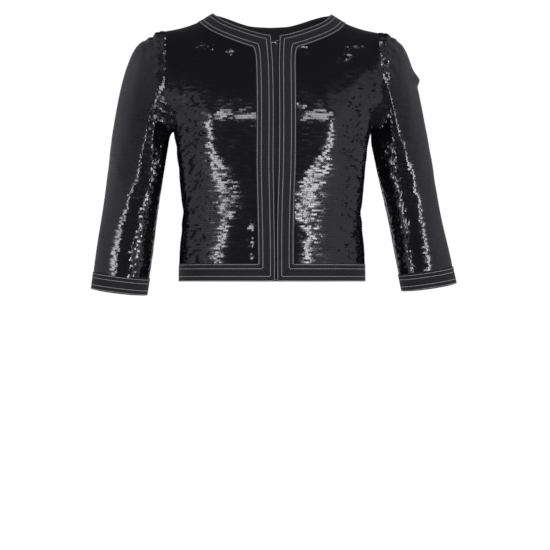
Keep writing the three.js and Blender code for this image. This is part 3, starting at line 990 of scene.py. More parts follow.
def arc_coordinates(form: BodyForm, spots: Array, low: float = -430.0) -> Array:
    """Measures spots along the body, so that rows of sequins run level and evenly.

    Args:
        form: The body's form.
        spots: Places as rows, columns, around and up.
        low: The level that heights are measured from.

    Returns:
        Distance round from the centre front and up from the low level, in millimetres.
    """
    around_keys = np.linspace(-0.45, 1.45, 381)
    up_keys = np.linspace(low, form.top, 241)
    rising = form.point(around_keys[:, None], up_keys[None, :])
    climb = np.linalg.norm(np.diff(rising, axis=1), axis=-1)
    heights = np.concatenate([np.zeros((len(around_keys), 1)), np.cumsum(climb, axis=1)], axis=1)
    ring = np.linalg.norm(np.diff(rising, axis=0), axis=-1)
    lengths = np.concatenate([np.zeros((1, len(up_keys))), np.cumsum(ring, axis=0)], axis=0)
    zero = np.argmin(np.abs(around_keys))
    lengths = lengths - lengths[zero]

    def read(table: Array) -> Array:
        """Reads a table between its rows and columns, at all the spots.

        Args:
            table: Values at the keys.

        Returns:
            The values at the spots.
        """
        i, j = (
            np.clip((spots[..., k] - keys[0]) / (keys[1] - keys[0]), 0, len(keys) - 1.001)
            for k, keys in enumerate((around_keys, up_keys))
        )
        i0, j0 = i.astype(int), j.astype(int)
        fi, fj = i - i0, j - j0
        low_row = table[i0, j0] * (1 - fj) + table[i0, j0 + 1] * fj
        high_row = table[i0 + 1, j0] * (1 - fj) + table[i0 + 1, j0 + 1] * fj
        return low_row * (1 - fi) + high_row * fi

    return np.stack([read(lengths), read(heights)], axis=-1)


# ---- creases


class Crease(NamedTuple):
    """A soft trough (negative depth) or ridge: its middle, lean, size and depth, in millimetres."""

    x: float
    z: float
    lean: float
    length: float
    width: float
    depth: float


def creases(*rows: tuple[float, ...]) -> tuple[Crease, ...]:
    """Reads creases from rows of numbers."""
    return tuple(Crease(*row) for row in rows)


FRONT_CREASES = creases(
    (132, -128, 62, 40, 9, -2.4), (118, -112, 52, 46, 11, 1.8), (104, -132, 35, 38, 10, -1.2),
    (60, -238, 82, 44, 17, 1.1), (92, -268, 70, 40, 14, -1.0), (48, -292, 60, 30, 12, -0.7),
    (110, -318, 12, 34, 11, -1.1), (84, -338, 6, 40, 10, 0.8), (70, -368, 85, 30, 14, -0.7),
    (40, -80, 20, 44, 14, 0.6), (112, -62, 40, 34, 10, -0.9),
)
BACK_CREASES = creases(
    (128, -120, -58, 42, 10, -2.2), (108, -104, -46, 44, 12, 1.6), (30, -300, 5, 60, 11, -1.8),
    (-44, -318, -7, 52, 12, 1.3), (8, -334, 3, 66, 9, -1.4), (84, -290, 18, 38, 12, -1.3),
    (-92, -304, -14, 40, 11, -1.2), (56, -70, 12, 40, 15, 0.7), (-58, -58, -10, 46, 13, -0.8),
    (-126, -122, 57, 44, 10, -2.0), (-106, -104, 44, 40, 12, 1.5),
)
SIDE_CREASES = creases(
    (0, -196, 8, 26, 9, -1.6), (14, -232, -12, 34, 10, -1.4), (-12, -300, 5, 40, 10, -1.8),
    (10, -318, -4, 44, 9, 1.2),
)


@dataclass(frozen=True)
class LightLine:
    """The line along which a panel's sequins catch a side light, and how they hang round it.

    Attributes:
        place: Where the line lies across the panel, on each level.
        faces: The bearing that the sequins on the line face, in degrees.
        reach: How far across they turn, on each level.
        calm: How much flatter they hang near the line, on each level.
        near: How far across they hang flatter.
        plumb: The share of the slope that hanging takes away, on each level.
        crown: How they lean back above the bust: where that starts and is full, and the slope.
        fan: The share of the cloth's roundness kept outside the line.
        high: The bearing that they keep within there, in degrees.
        most: The furthest that they turn or nod, in degrees.
        follows: How far they follow the cloth's creases.
        speckle: The share that hangs askew outside the line.
        loose: How unevenly they hang on the far side, in degrees.
        glints: Small bright spots: across, level, half breadth, half height.
        past_line: How far past the line's bearing the outside begins, in radians.
        front_only: How far behind the side the outside ends.
        droop: How much lower the lean starts by the armhole, and how unevenly.
        droop_across: Where that begins and how wide it is.
        pinch: The share of the lean from which high holds.
        sides: Where askew sequins begin and where they are full in number.
        askew: How far they nod, in radians.
        far_side: The bearing past which the far side begins, in radians.
        sparse: How a glint thins out towards its rim.
        glint_nod: How far a glint leans back, in radians.
        glint_bearing: The bearing that a glint faces, in radians.
        seed: Start of the random draws.
    """

    place: Curve
    faces: float
    reach: Curve
    calm: Curve
    near: float
    plumb: Curve
    crown: tuple[float, float, float] = (0.0, 1.0, 0.0)
    fan: float = 1.0
    high: float = 90.0
    most: float = 25.0
    follows: float = 1.0
    speckle: float = 0.0
    loose: float = 0.0
    glints: tuple[tuple[float, float, float, float], ...] = ()
    past_line: float = 0.09
    front_only: float = 0.3
    droop: tuple[float, float] = (48.0, 9.0)
    droop_across: tuple[float, float] = (92.0, 40.0)
    pinch: float = 0.35
    sides: tuple[float, float] = (88.0, 135.0)
    askew: float = 0.42
    far_side: float = 0.12
    sparse: tuple[float, float] = (0.16, 1.0)
    glint_nod: float = 0.149
    glint_bearing: float = 0.18
    seed: int = 5

    def facing(self, cloth: Array, form: Array, across: Array, level: Array) -> Array:
        """Gives the way that the sequins face.

        Args:
            cloth: The creased cloth's outward directions.
            form: The smooth form's outward directions.
            across: Distances or angles across the panel.
            level: Heights, or distances down the panel.

        Returns:
            The directions that the sequins face.
        """
        away = across - self.place(level)
        cloth = unit(mix(form, cloth, self.follows))
        on_line = math.radians(self.faces)
        smooth_bearing = np.arctan2(form[..., 0], -form[..., 1])
        turn = np.empty((len(away), 1))
        for i, row in enumerate(away):
            order = np.argsort(row)
            turn[i] = on_line - np.interp(0.0, row[order], smooth_bearing[i][order])
        limit = math.radians(self.most)
        turn = limit * np.tanh(turn / limit)
        bearing = np.arctan2(cloth[..., 0], -cloth[..., 1]) + turn * bell(away / self.reach(level))
        calm = np.clip(self.calm(level), -3, 1) * bell(away / self.near)
        bearing = bearing + calm * (on_line - bearing)
        edge = math.copysign(abs(on_line) + self.past_line, on_line)
        outside = (np.abs(bearing) > abs(edge)) * (np.sign(bearing) == np.sign(edge))
        outside = outside * (cloth[..., 1] < self.front_only)
        bearing = bearing + outside * (1 - self.fan) * (edge - bearing)
        start, full, leaning = self.crown
        draws = np.random.default_rng(self.seed)
        streaks = self.droop[1] * draws.normal(size=(len(level), 1))
        nearing = smooth((np.abs(across) - self.droop_across[0]) / self.droop_across[1])
        lowered = level - (self.droop[0] + streaks) * nearing
        above = smooth((lowered - start) / (full - start)) * (leaning > 0)
        widest = math.radians(self.high)
        pinched = smooth((above - self.pinch) / (1 - self.pinch))
        bearing = mix(bearing, np.clip(bearing, -widest, widest), pinched)
        slope = np.arcsin(np.clip(cloth[..., 2], -1, 1))
        slope = slope - np.clip(np.clip(self.plumb(level), 0, 1) * slope, -limit, limit)
        slope = slope + above * np.maximum(math.radians(leaning) - slope, 0)
        sideways = smooth((np.abs(across) - self.sides[0]) / (self.sides[1] - self.sides[0]))
        crooked = draws.random(np.shape(slope)) < self.speckle * outside * (1 - above) * sideways
        slope = slope + self.askew * (crooked | np.roll(crooked, 1, axis=1))
        inside = smooth(-np.sign(on_line) * bearing / self.far_side)
        bearing = bearing + math.radians(self.loose) * inside * draws.normal(size=np.shape(bearing))
        for x, z, wide, high in self.glints:
            spot = bell((across - x) / wide) * bell((level - z) / high)
            caught = spot > draws.uniform(*self.sparse, np.shape(slope))
            slope = np.where(caught, self.glint_nod, slope)
            bearing = np.where(caught, math.copysign(self.glint_bearing, on_line), bearing)
        flat = np.cos(slope)
        return np.stack([np.sin(bearing) * flat, -np.cos(bearing) * flat, np.sin(slope)], axis=-1)


FRONT_LEVELS = (-415, -382, -338, -307, -279, -254, -230, -204, -175, -160, -145, -60)
FRONT_PLUMB = Curve(FRONT_LEVELS, (0.9, 0.9, 0.9, 0.9, 0.9, 0.9, 0.9, 0.9, 0.8, 0.1, 0, 0))
FRONT_REACH = Curve((-415, -60), (60, 60))
RIGHT_FRONT_LINE = LightLine(
    Curve(FRONT_LEVELS, (-86, -84, -77, -71, -69.5, -74.5, -85, -97, -102, -103, -100, -100)), -22.3,
    FRONT_REACH,
    Curve(FRONT_LEVELS, (0.1, 0.1, 0, 0.35, 0.75, 0.82, 0.6, 0.1, 0, 0, 0, 0)), 26, FRONT_PLUMB,
    (-181, -134, 12), 0.3, 18.5, speckle=0.22,
    glints=((-111, -43, 18, 7), (-68, -54, 8, 6), (-37, -324, 6, 9), (-36, -350, 6, 8), (-37, -372, 5, 7)),
)
LEFT_FRONT_LINE = LightLine(
    Curve(FRONT_LEVELS, (65, 65, 63, 59, 60, 66, 76, 85, 89, 89, 88, 88)), 19.2, FRONT_REACH,
    Curve(FRONT_LEVELS, (0.3, 0.35, 0.3, 0.65, 0.85, 0.87, 0.75, 0.15, 0, 0, 0, 0)), 42, FRONT_PLUMB,
    (-181, -134, 12), 0.3, 18.5, speckle=0.22,
    glints=(
        (128, -42, 22, 6), (118, -56, 16, 6), (104, -66, 18, 5),
        (43, -45, 12, 6), (52, -58, 8, 5), (35, -141, 10, 6),
    ),
)


def creased(x: Array, z: Array, creases: Sequence[Crease]) -> Array:
    """Adds up the offsets of creases at places on a panel.

    Args:
        x: Distances across the panel.
        z: Heights.
        creases: The creases, as listed.

    Returns:
        Offset along the normal, in millimetres.
    """
    total = np.zeros(np.shape(x))
    for crease in creases:
        turn = math.radians(crease.lean)
        along = (x - crease.x) * math.cos(turn) + (z - crease.z) * math.sin(turn)
        across = -(x - crease.x) * math.sin(turn) + (z - crease.z) * math.cos(turn)
        across = across + 0.0025 * along * along * math.copysign(1, crease.depth)
        total = total + crease.depth * bell(along / crease.length) * bell(across / crease.width)
    return total


# ---- small things in great number


@dataclass(frozen=True)
class SequinLayout:
    """How the sequins are sewn on: millimetres and degrees."""

    pitch: float = 2.0
    row: float = 3.1
    radius: float = 1.6
    lift: float = 0.45
    lean: float = 2.0
    scatter: float = 0.8
    together: float = 2.4
    run: float = 5.0
    corners: int = 8

    def tree(self, values: dict[str, object]) -> NodeTree:
        """Builds the node tree that lays sequins out in rows on a piece of cloth.

        Args:
            values: Its inputs' names, each with a value of its kind.

        Returns:
            The tree, with named inputs.
        """
        if "sequin_rows" in bpy.data.node_groups:
            return bpy.data.node_groups["sequin_rows"]
        tree = bpy.data.node_groups.new("sequin_rows", "GeometryNodeTree")
        socket = tree.interface.new_socket
        socket("Geometry", in_out="INPUT", socket_type="NodeSocketGeometry")
        kinds = {int: "NodeSocketInt", float: "NodeSocketFloat", tuple: "NodeSocketVector"}
        for name, value in values.items():
            kind = kinds.get(type(value), "NodeSocketMaterial")
            socket(name, in_out="INPUT", socket_type=kind)
        socket("Geometry", in_out="OUTPUT", socket_type="NodeSocketGeometry")
        given = tree.nodes.new("NodeGroupInput").outputs
        add = partial(add_node, tree)
        vector_node = "ShaderNodeVectorMath"
        sums = {socket.name: socket for socket in given}
        sums["index"] = add("GeometryNodeInputIndex").outputs[0]
        # Every second row is shifted by half a sequin. Each row is cut into stretches of a few neighbours.
        for name, operation, *takes in (
            ("total", "MULTIPLY", "Along count", "Row count"),
            ("rows", "DIVIDE", "index", "Along count"),
            ("row", "FLOOR", "rows"),
            ("first", "MULTIPLY", "row", "Along count"),
            ("column", "SUBTRACT", "index", "first"),
            ("odd", "MODULO", "row", 2.0),
            ("shifted", "MULTIPLY_ADD", "odd", 0.5, "column"),
            ("x", "MULTIPLY", "shifted", "Pitch"),
            ("y", "MULTIPLY", "row", "Row distance"),
            ("start", "MULTIPLY_ADD", "row", 1.7, "column"),
            ("runs", "DIVIDE", "start", "Run"),
            ("stretch", "FLOOR", "runs"),
            ("thread", "MULTIPLY_ADD", "row", 4096.0, "stretch"),
        ):
            links = {i: sums.get(take, take) for i, take in enumerate(takes)}
            sums[name] = add("ShaderNodeMath", links, operation=operation).outputs[0]
        line = add("GeometryNodeMeshLine", {"Count": sums["total"], "Offset": (0, 0, 0)})
        place = add("ShaderNodeCombineXYZ", {"X": sums["x"], "Y": sums["y"]}).outputs[0]
        limits = {"Min": (-0.00016, -0.00012, 0), "Max": (0.00016, 0.00012, 0), "Seed": given["Seed"]}
        jitter = add("FunctionNodeRandomValue", limits, data_type="FLOAT_VECTOR").outputs["Value"]
        even = add(vector_node, {0: place, 1: given["Low corner"]}, operation="ADD").outputs[0]
        flat = add(vector_node, {0: even, 1: jitter}, operation="ADD").outputs[0]

        known = {}
        for name in ("UVMap", "cloth_out", "row_way", "out", "way"):
            node = add("GeometryNodeInputNamedAttribute", {"Name": name}, data_type="FLOAT_VECTOR")
            known[name] = node.outputs["Attribute"]
        samples = []
        for value in (add("GeometryNodeInputPosition").outputs[0], known["cloth_out"], known["row_way"]):
            links = {"Mesh": given["Geometry"], "Value": value, "UV Map": known["UVMap"], "Sample UV": flat}
            samples.append(add("GeometryNodeSampleUVSurface", links, data_type="FLOAT_VECTOR").outputs)
        position, out, way = samples
        raised = add(vector_node, {0: out["Value"], "Scale": given["Lift"]}, operation="SCALE").outputs[0]
        lifted = add(vector_node, {0: position["Value"], 1: raised}, operation="ADD").outputs[0]
        laid_out = line.outputs["Mesh"]
        for name, value, kind in (
            ("out", out["Value"], "FLOAT_VECTOR"),
            ("way", way["Value"], "FLOAT_VECTOR"),
            ("on", position["Is Valid"], "BOOLEAN"),
        ):
            links = {"Geometry": laid_out, "Name": name, "Value": value}
            laid_out = add("GeometryNodeStoreNamedAttribute", links, data_type=kind).outputs["Geometry"]
        placed = add("GeometryNodeSetPosition", {"Geometry": laid_out, "Position": lifted})
        chosen = add("GeometryNodeInputNamedAttribute", {"Name": "on"}, data_type="BOOLEAN")
        links = {"Vertices": self.corners, "Radius": given["Radius"]}
        disc = add("GeometryNodeMeshCircle", links, fill_type="NGON")
        links = {"Primary Axis": known["out"], "Secondary Axis": known["way"]}
        facing = add("FunctionNodeAxesToRotation", links, primary_axis="Z", secondary_axis="X")
        # The sequins of a stretch turn together, and each also turns a little by itself.
        draws = []
        for more, who in ((7.0, {}), (31.0, {}), (53.0, {"ID": sums["thread"]})):
            seed = add("ShaderNodeMath", {0: given["Seed"], 1: more}, operation="ADD").outputs[0]
            links = {"Min": (-1, -1, -1), "Max": (1, 1, 1), "Seed": seed, **who}
            draws.append(add("FunctionNodeRandomValue", links, data_type="FLOAT_VECTOR").outputs["Value"])
        both = add(vector_node, {0: draws[0], 1: draws[1]}, operation="ADD").outputs[0]
        alone = add(vector_node, {0: both, "Scale": given["Scatter"]}, operation="SCALE").outputs[0]
        shared = add(vector_node, {0: draws[2], "Scale": given["Together"]}, operation="SCALE").outputs[0]
        tilt = add(vector_node, {0: alone, 1: shared}, operation="ADD").outputs[0]
        lean = add("ShaderNodeCombineXYZ", {"Y": given["Lean"]}).outputs[0]
        nod = add(vector_node, {0: tilt, 1: lean}, operation="ADD").outputs[0]
        euler = add("FunctionNodeEulerToRotation", {"Euler": nod})
        links = {"Rotation": facing.outputs["Rotation"], "Rotate By": euler.outputs["Rotation"]}
        turned = add("FunctionNodeRotateRotation", links, rotation_space="LOCAL")
        links = {
            "Points": placed.outputs["Geometry"],
            "Selection": chosen.outputs["Attribute"],
            "Instance": disc.outputs["Mesh"],
            "Rotation": turned.outputs["Rotation"],
        }
        laid = add("GeometryNodeInstanceOnPoints", links)
        real = add("GeometryNodeRealizeInstances", {"Geometry": laid.outputs["Instances"]})
        links = {"Geometry": real.outputs["Geometry"], "Material": given["Finish"]}
        dressed = add("GeometryNodeSetMaterial", links)
        add("NodeGroupOutput", {"Geometry": dressed.outputs["Geometry"]})
        return tree


def sew_sequins(
    name: str, cloth: Sheet, facing: Array, edges: Sequence[Array], layout: SequinLayout, seed: int
) -> Object:
    """Covers a piece of cloth with rows of sequins, apart from where trim lies on it.

    Args:
        name: The name of the piece that they make together.
        cloth: The cloth, creases and all.
        facing: The direction that the sequins face at each point of the cloth.
        edges: Points along the trimmed edges, in millimetres.
        layout: Their size and spacing.
        seed: Start of the random draws.

    Returns:
        All the sequins as one mesh.
    """
    rows, columns = cloth.points.shape[:2]
    faces = quads(rows, columns)
    points = cloth.points.reshape(-1, 3)
    if edges:
        middle = points[faces].mean(axis=1)
        faces = faces[nearest(middle, np.concatenate(edges)) > TRIM_WIDTH - UNDER_TRIM]
    carrier = new_object(name, points, [faces], cloth.flat.reshape(-1, 2))
    ahead = np.gradient(cloth.points, axis=1) * np.sign(cloth.flat[0, -1, 0] - cloth.flat[0, 0, 0])
    for label, values in (("cloth_out", facing), ("row_way", unit(ahead))):
        attribute = carrier.data.attributes.new(label, "FLOAT_VECTOR", "POINT")
        attribute.data.foreach_set("vector", values.reshape(-1).astype(np.float32))
    low = cloth.flat.reshape(-1, 2).min(axis=0)
    size = cloth.flat.reshape(-1, 2).max(axis=0) - low
    start = np.floor(low / (layout.pitch, layout.row)) * (layout.pitch, layout.row)
    values = {
        "Low corner": (start[0] * MM, start[1] * MM, 0.0),
        "Along count": int(size[0] / layout.pitch) + 3,
        "Row count": int(size[1] / layout.row) + 3,
        "Pitch": layout.pitch * MM,
        "Row distance": layout.row * MM,
        "Radius": layout.radius * MM,
        "Lift": layout.lift * MM,
        "Lean": math.radians(layout.lean),
        "Scatter": math.radians(layout.scatter) / 2,
        "Together": math.radians(layout.together),
        "Run": layout.run,
        "Seed": seed,
        "Finish": SEQUIN.material(),
    }
    tree = layout.tree(values)
    modifier = carrier.modifiers.new("rows", "NODES")
    modifier.node_group = tree
    for item in tree.interface.items_tree:
        if item.in_out == "INPUT" and item.name in values:
            modifier[item.identifier] = values[item.name]
    return plain_mesh(carrier)


def plain_mesh(thing: Object) -> Object:
    """Turns what a node tree makes into the object's own mesh and drops the tree's modifier.

    Args:
        thing: The object with the modifier.

    Returns:
        The same object.
    """
    graph = bpy.context.evaluated_depsgraph_get()
    made = bpy.data.meshes.new_from_object(thing.evaluated_get(graph), depsgraph=graph)
    thing.modifiers.clear()
    thing.data = made
    for attribute in [a for a in made.attributes if a.name in ("out", "way", "on")]:
        made.attributes.remove(attribute)
    return thing


@dataclass(frozen=True)
class Stitching:
    """Topstitching: one stitch is a short fat thread that dips at both ends. Millimetres."""

    length: float = 2.7
    pitch: float = 3.2
    width: float = 1.0
    height: float = 0.7
    look: float = 0.6
    sides: int = 5

    def shape(self) -> tuple[Array, Array]:
        """Gives one stitch along X, with Z away from the cloth.

        Returns:
            Its points and its faces.
        """
        stations = np.array([(-0.5, 0.35, -0.2), (-0.34, 0.9, 0.05), (0.34, 0.9, 0.05), (0.5, 0.35, -0.2)])
        place, full, rise = stations.T[:, :, None]
        turn = 2 * math.pi * np.arange(self.sides) / self.sides + math.pi / 2
        y = np.cos(turn) * self.width / 2 * full
        z = np.sin(turn) * self.height / 2 * full + rise
        points = np.stack([place * self.length + 0 * y, y, z], axis=-1).reshape(-1, 3)
        r, k = np.meshgrid(np.arange(len(stations) - 1), np.arange(self.sides), indexing="ij")
        a, b = (r * self.sides + k).ravel(), (r * self.sides + (k + 1) % self.sides).ravel()
        return points, np.stack([a, a + self.sides, b + self.sides, b], axis=-1)

    def sewn(self, name: str, lines: Sequence[tuple[Array, Array]]) -> Object:
        """Runs rows of stitches along lines.

        Args:
            name: The name of the piece that they make together.
            lines: For each row its points and the outward direction at each, in millimetres.

        Returns:
            All the stitches as one mesh.
        """
        template, faces = self.shape()
        all_points, all_faces = [], []
        for points, outward in lines:
            run = run_along(points)
            count = max(1, int(run[-1] / self.pitch))
            at = (np.arange(count) + 0.5) * run[-1] / count
            centre = np.stack([np.interp(at, run, points[:, i]) for i in range(3)], axis=-1)
            ahead = np.stack([np.interp(at + self.look, run, points[:, i]) for i in range(3)], axis=-1)
            back = np.stack([np.interp(at - self.look, run, points[:, i]) for i in range(3)], axis=-1)
            up = np.stack([np.interp(at, run, outward[:, i]) for i in range(3)], axis=-1)
            x = unit(ahead - back)
            y = unit(np.cross(up, x))
            z = np.cross(x, y)
            frames = np.stack([x, y, z], axis=1)
            placed = centre[:, None] + np.einsum("pk,nkj->npj", template, frames)
            start = sum(len(p) for p in all_points)
            all_points.append(placed.reshape(-1, 3))
            first = start + np.arange(count) * len(template)
            all_faces.append((faces[None] + first[:, None, None]).reshape(-1, 4))
        made = new_object(name, np.concatenate(all_points), all_faces)
        made.data.polygons.foreach_set("use_smooth", np.ones(len(made.data.polygons), dtype=bool))
        made.data.materials.append(THREAD_FINISH.material())
        return made


# ---- the jacket

TRIM_WIDTH = 28.0
# How far the sequins go in under the trim.
UNDER_TRIM = 1.5
WALL = 1.4
LAY = 0.55
TRIM_WALL = 1.2
INSIDE_WALL = 1.0
SEAM = 0.3
# Places across the trim, from the garment's edge inwards, and how far its face stands there.
TRIM_PARTS = np.array([0, 0.02, 0.05, 0.15, 0.27, 0.39, 0.5, 0.61, 0.73, 0.85, 0.95, 0.98, 1])
TRIM_CROWN = np.array([-0.5, -0.15, 0, 0, 0, 0, 0, 0, 0, 0, 0, -0.15, -0.45])
STITCH_PARTS = (0.045, 0.272, 0.70, 0.925)
STITCH_LIFT = 0.05


@dataclass
class Jacket:
    """The whole jacket: what its parts share."""

    form: BodyForm = field(default_factory=BodyForm)
    sequins: SequinLayout = field(default_factory=SequinLayout)
    stitching: Stitching = field(default_factory=Stitching)
    calm_reach: float = 14.0

    def __post_init__(self) -> None:
        """Draws the pattern lines on the form."""
        self.pattern = Pattern(self.form)
        front = np.stack(self.pattern.armhole(np.linspace(0, 1, 200)), axis=-1)
        loop = np.concatenate([front, behind(front)])
        self.armhole_points = self.form.point(loop[:, 0], loop[:, 1])

    def offset(self, points: Array, normals: Array) -> Array:
        """Gives how far the creases move the body cloth at places.

        Args:
            points: Places on the smooth form.
            normals: Its normals there.

        Returns:
            Offset along the normals, in millimetres.
        """
        x, y, z = points[..., 0], points[..., 1], points[..., 2]
        front = smooth(-normals[..., 1] * 2.2)
        back = smooth(normals[..., 1] * 2.2)
        side = smooth((np.abs(normals[..., 0]) - 0.72) * 5)
        total = front * creased(x, z, FRONT_CREASES) + back * creased(x, z, BACK_CREASES)
        total = total + side * creased(y, z, SIDE_CREASES)
        waves = 0.35 * np.sin(x / 23 + z / 61 + 0.7) + 0.3 * np.sin(z / 29 - x / 47)
        waves = waves + 0.2 * np.sin(y / 17 + z / 37)
        return (total + waves * smooth((-z - 10) / 60)) * self.clear_of_armholes(points)

    def clear_of_armholes(self, points: Array) -> Array:
        """Gives 0 at the armholes and 1 away from them.

        Args:
            points: Places on either side of the body.

        Returns:
            The shares.
        """
        flat = points.reshape(-1, 3).copy()
        flat[:, 0] = np.abs(flat[:, 0])
        return smooth(nearest(flat, self.armhole_points) / self.calm_reach).reshape(points.shape[:-1])

    def laid(self, spots: Array) -> Sheet:
        """Turns spots into cloth with its creases.

        Args:
            spots: Rows and columns of around and up.

        Returns:
            The cloth.
        """
        around, up = spots[..., 0], spots[..., 1]
        points = self.form.point(around, up)
        normals = self.form.normal(around, up)
        flat = arc_coordinates(self.form, spots)
        return Sheet(points, normals, flat)

    def draped(self, sheet: Sheet) -> Sheet:
        """Adds the creases to cloth on the smooth form."""
        return sheet.moved(self.offset(sheet.points, sheet.normals))


def declare(piece: Object, nodes: Sequence[str]) -> Object:
    """Says what a piece rides on and what it stands for.

    Args:
        piece: The piece.
        nodes: The CAD nodes that it replaces.

    Returns:
        The same piece.
    """
    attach(piece, BODY)
    if nodes:
        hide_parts(*nodes)
    log.info("%s: %d faces", piece.name, len(piece.data.polygons))
    return piece


@dataclass
class Body:
    """The sequinned body panels: two fronts, two side panels and a back in one piece."""

    jacket: Jacket
    low_rows: int = 68
    high_rows: int = 54
    neck_columns: int = 36
    shoulder_columns: int = 22
    side_columns: int = 26
    back_neck_columns: int = 56
    seam_dip: float = 0.45
    seam_reach: float = 2.2

    def build(self) -> None:
        """Builds, covers and declares all the panels."""
        pattern = self.jacket.pattern
        self.seam = pattern.evenly(pattern.side_seam, self.low_rows)
        self.arm_front = pattern.evenly(pattern.armhole, self.high_rows, 0.0, pattern.meets_at)
        self.arm_under = pattern.evenly(pattern.armhole, self.side_columns // 2, pattern.meets_at, 1.0)
        self.shoulder = pattern.evenly(pattern.shoulder_line, self.shoulder_columns)
        front = self.front_spots()
        side = self.side_spots()
        self.back = self.back_spots()
        left = self.jacket.laid(front)
        self.panel("front_left", left, ("right", "top"), 11)
        self.panel("front_right", left.mirrored(), ("left", "top"), 12)
        side_left = self.jacket.laid(side)
        self.panel("side_left", side_left, ("left", "right", "top"), 13)
        self.panel("side_right", side_left.mirrored(), ("left", "right", "top"), 14)
        self.panel("back", self.jacket.laid(self.back), ("left", "right"), 15)

    def front_spots(self) -> Array:
        """Lays out the left front.

        Returns:
            Places on the form.
        """
        pattern = self.jacket.pattern
        split = (pattern.meeting[1] - pattern.hem_front) / (pattern.corner[1] - pattern.hem_front)
        low = pattern.evenly(pattern.edge_line, self.low_rows, 0.0, split)
        high = pattern.evenly(pattern.edge_line, self.high_rows, split, 1.0)
        columns = self.neck_columns + self.shoulder_columns
        chest = between(low[-1], np.array(pattern.meeting), columns)
        hem = between(low[0], self.seam[0], columns)
        hem[:, 1] = pattern.hem_up(hem[:, 0])
        neck = pattern.evenly(pattern.front_neck, self.neck_columns)
        top = np.concatenate([neck, self.shoulder[1:]])
        lower = patch(hem, chest, low, self.seam)
        upper = patch(chest, top, high, self.arm_front[::-1])
        return np.concatenate([lower, upper[1:]])

    def side_spots(self) -> Array:
        """Lays out the left side panel.

        Returns:
            Places on the form.
        """
        pattern = self.jacket.pattern
        armhole = np.concatenate([self.arm_under, behind(self.arm_under)[::-1][1:]])
        back_seam = behind(self.seam)
        hem = between(self.seam[0], back_seam[0], len(armhole) - 1)
        hem[:, 1] = pattern.hem_up(hem[:, 0])
        return patch(hem, armhole, self.seam, back_seam)

    def back_spots(self) -> Array:
        """Lays out the back.

        Returns:
            Places on the form.
        """
        pattern = self.jacket.pattern
        left = behind(self.seam)
        right = other_side(left)
        columns = self.shoulder_columns * 2 + self.back_neck_columns
        chest = between(left[-1], right[-1], columns)
        hem = between(left[0], right[0], columns)
        hem[:, 1] = pattern.hem_up(hem[:, 0])
        shoulder = behind(self.shoulder)[::-1]
        neck = pattern.evenly(pattern.back_neck, self.back_neck_columns)
        top = np.concatenate([shoulder, neck[1:], other_side(shoulder)[::-1][1:]])
        armhole = behind(self.arm_front)[::-1]
        lower = patch(hem, chest, left, right)
        upper = patch(chest, top, armhole, other_side(armhole))
        return np.concatenate([lower, upper[1:]])

    def panel(self, name: str, smooth_sheet: Sheet, seams: Sequence[str], seed: int) -> None:
        """Builds one panel with its sequins.

        Args:
            name: The CAD node that it stands for.
            smooth_sheet: Its grid on the smooth form.
            seams: Which of its sides are sewn to other panels.
            seed: Start of its random draws.
        """
        creased_sheet = self.jacket.draped(smooth_sheet)
        clear = self.jacket.clear_of_armholes(creased_sheet.points)
        dip = self.seam_dip * self.near_seams(creased_sheet, seams) * clear
        cloth = creased_sheet.moved(-dip)
        made = shell(f"{name}_cloth", cloth, WALL, (BACKING, LINING))
        facing = cloth.normals
        if name in FRONT_LINES:
            places = smooth_sheet.points[..., 0], smooth_sheet.points[..., 2]
            facing = FRONT_LINES[name].facing(facing, smooth_sheet.normals, *places)
        layout = self.jacket.sequins
        sequins = sew_sequins(f"{name}_sequins", cloth, facing, self.jacket_edges(), layout, seed)
        declare(made, [name])
        declare(sequins, [])

    def near_seams(self, sheet: Sheet, seams: Sequence[str]) -> Array:
        """Gives 1 at the sewn sides and 0 away from them.

        Args:
            sheet: The panel.
            seams: Its sewn sides.

        Returns:
            The shares.
        """
        points = sheet.points
        across = np.linalg.norm(np.diff(points, axis=1), axis=-1)
        rising = np.linalg.norm(np.diff(points, axis=0), axis=-1)
        from_left = np.concatenate([np.zeros((len(points), 1)), np.cumsum(across, axis=1)], axis=1)
        from_low = np.concatenate([np.zeros((1, points.shape[1])), np.cumsum(rising, axis=0)], axis=0)
        reach = {"left": from_left, "right": from_left[:, -1:] - from_left, "top": from_low[-1:] - from_low}
        total = np.zeros(points.shape[:2])
        for side in seams:
            total = np.maximum(total, bell(reach[side] / self.seam_reach))
        return total

    def jacket_edges(self) -> list[Array]:
        """Gives points along every edge that trim lies on, once.

        Returns:
            Points in millimetres, an array for each edge.
        """
        if not hasattr(self, "edge_points"):
            pattern, form = self.jacket.pattern, self.jacket.form
            t = np.linspace(0, 1, 500)
            self.edge_points = []
            for line in (pattern.neck_line, pattern.edge_line, pattern.hem_line):
                points = form.point(*line(t))
                self.edge_points += [points, points * (-1.0, 1.0, 1.0)]
        return self.edge_points


NO_REACH = Curve((-415, -60), (1, 1))
FRONT_LINES = {
    "front_left": LEFT_FRONT_LINE,
    "side_left": replace(LEFT_FRONT_LINE, reach=NO_REACH, near=1.0),
    "front_right": RIGHT_FRONT_LINE,
    "side_right": replace(RIGHT_FRONT_LINE, reach=NO_REACH, near=1.0),
}


# ---- sleeves


class Arm(NamedTuple):
    """Where one sleeve hangs. Millimetres, as on the wearer's left."""

    side: int
    out: float
    cuff_out: float
    cuff_forward: float
    end: float
    pucker: float
    full: float


class Pleat(NamedTuple):
    """One gather of the sleeve head: degrees from the top, then millimetres."""

    angle: float
    width: float
    depth: float
    length: float


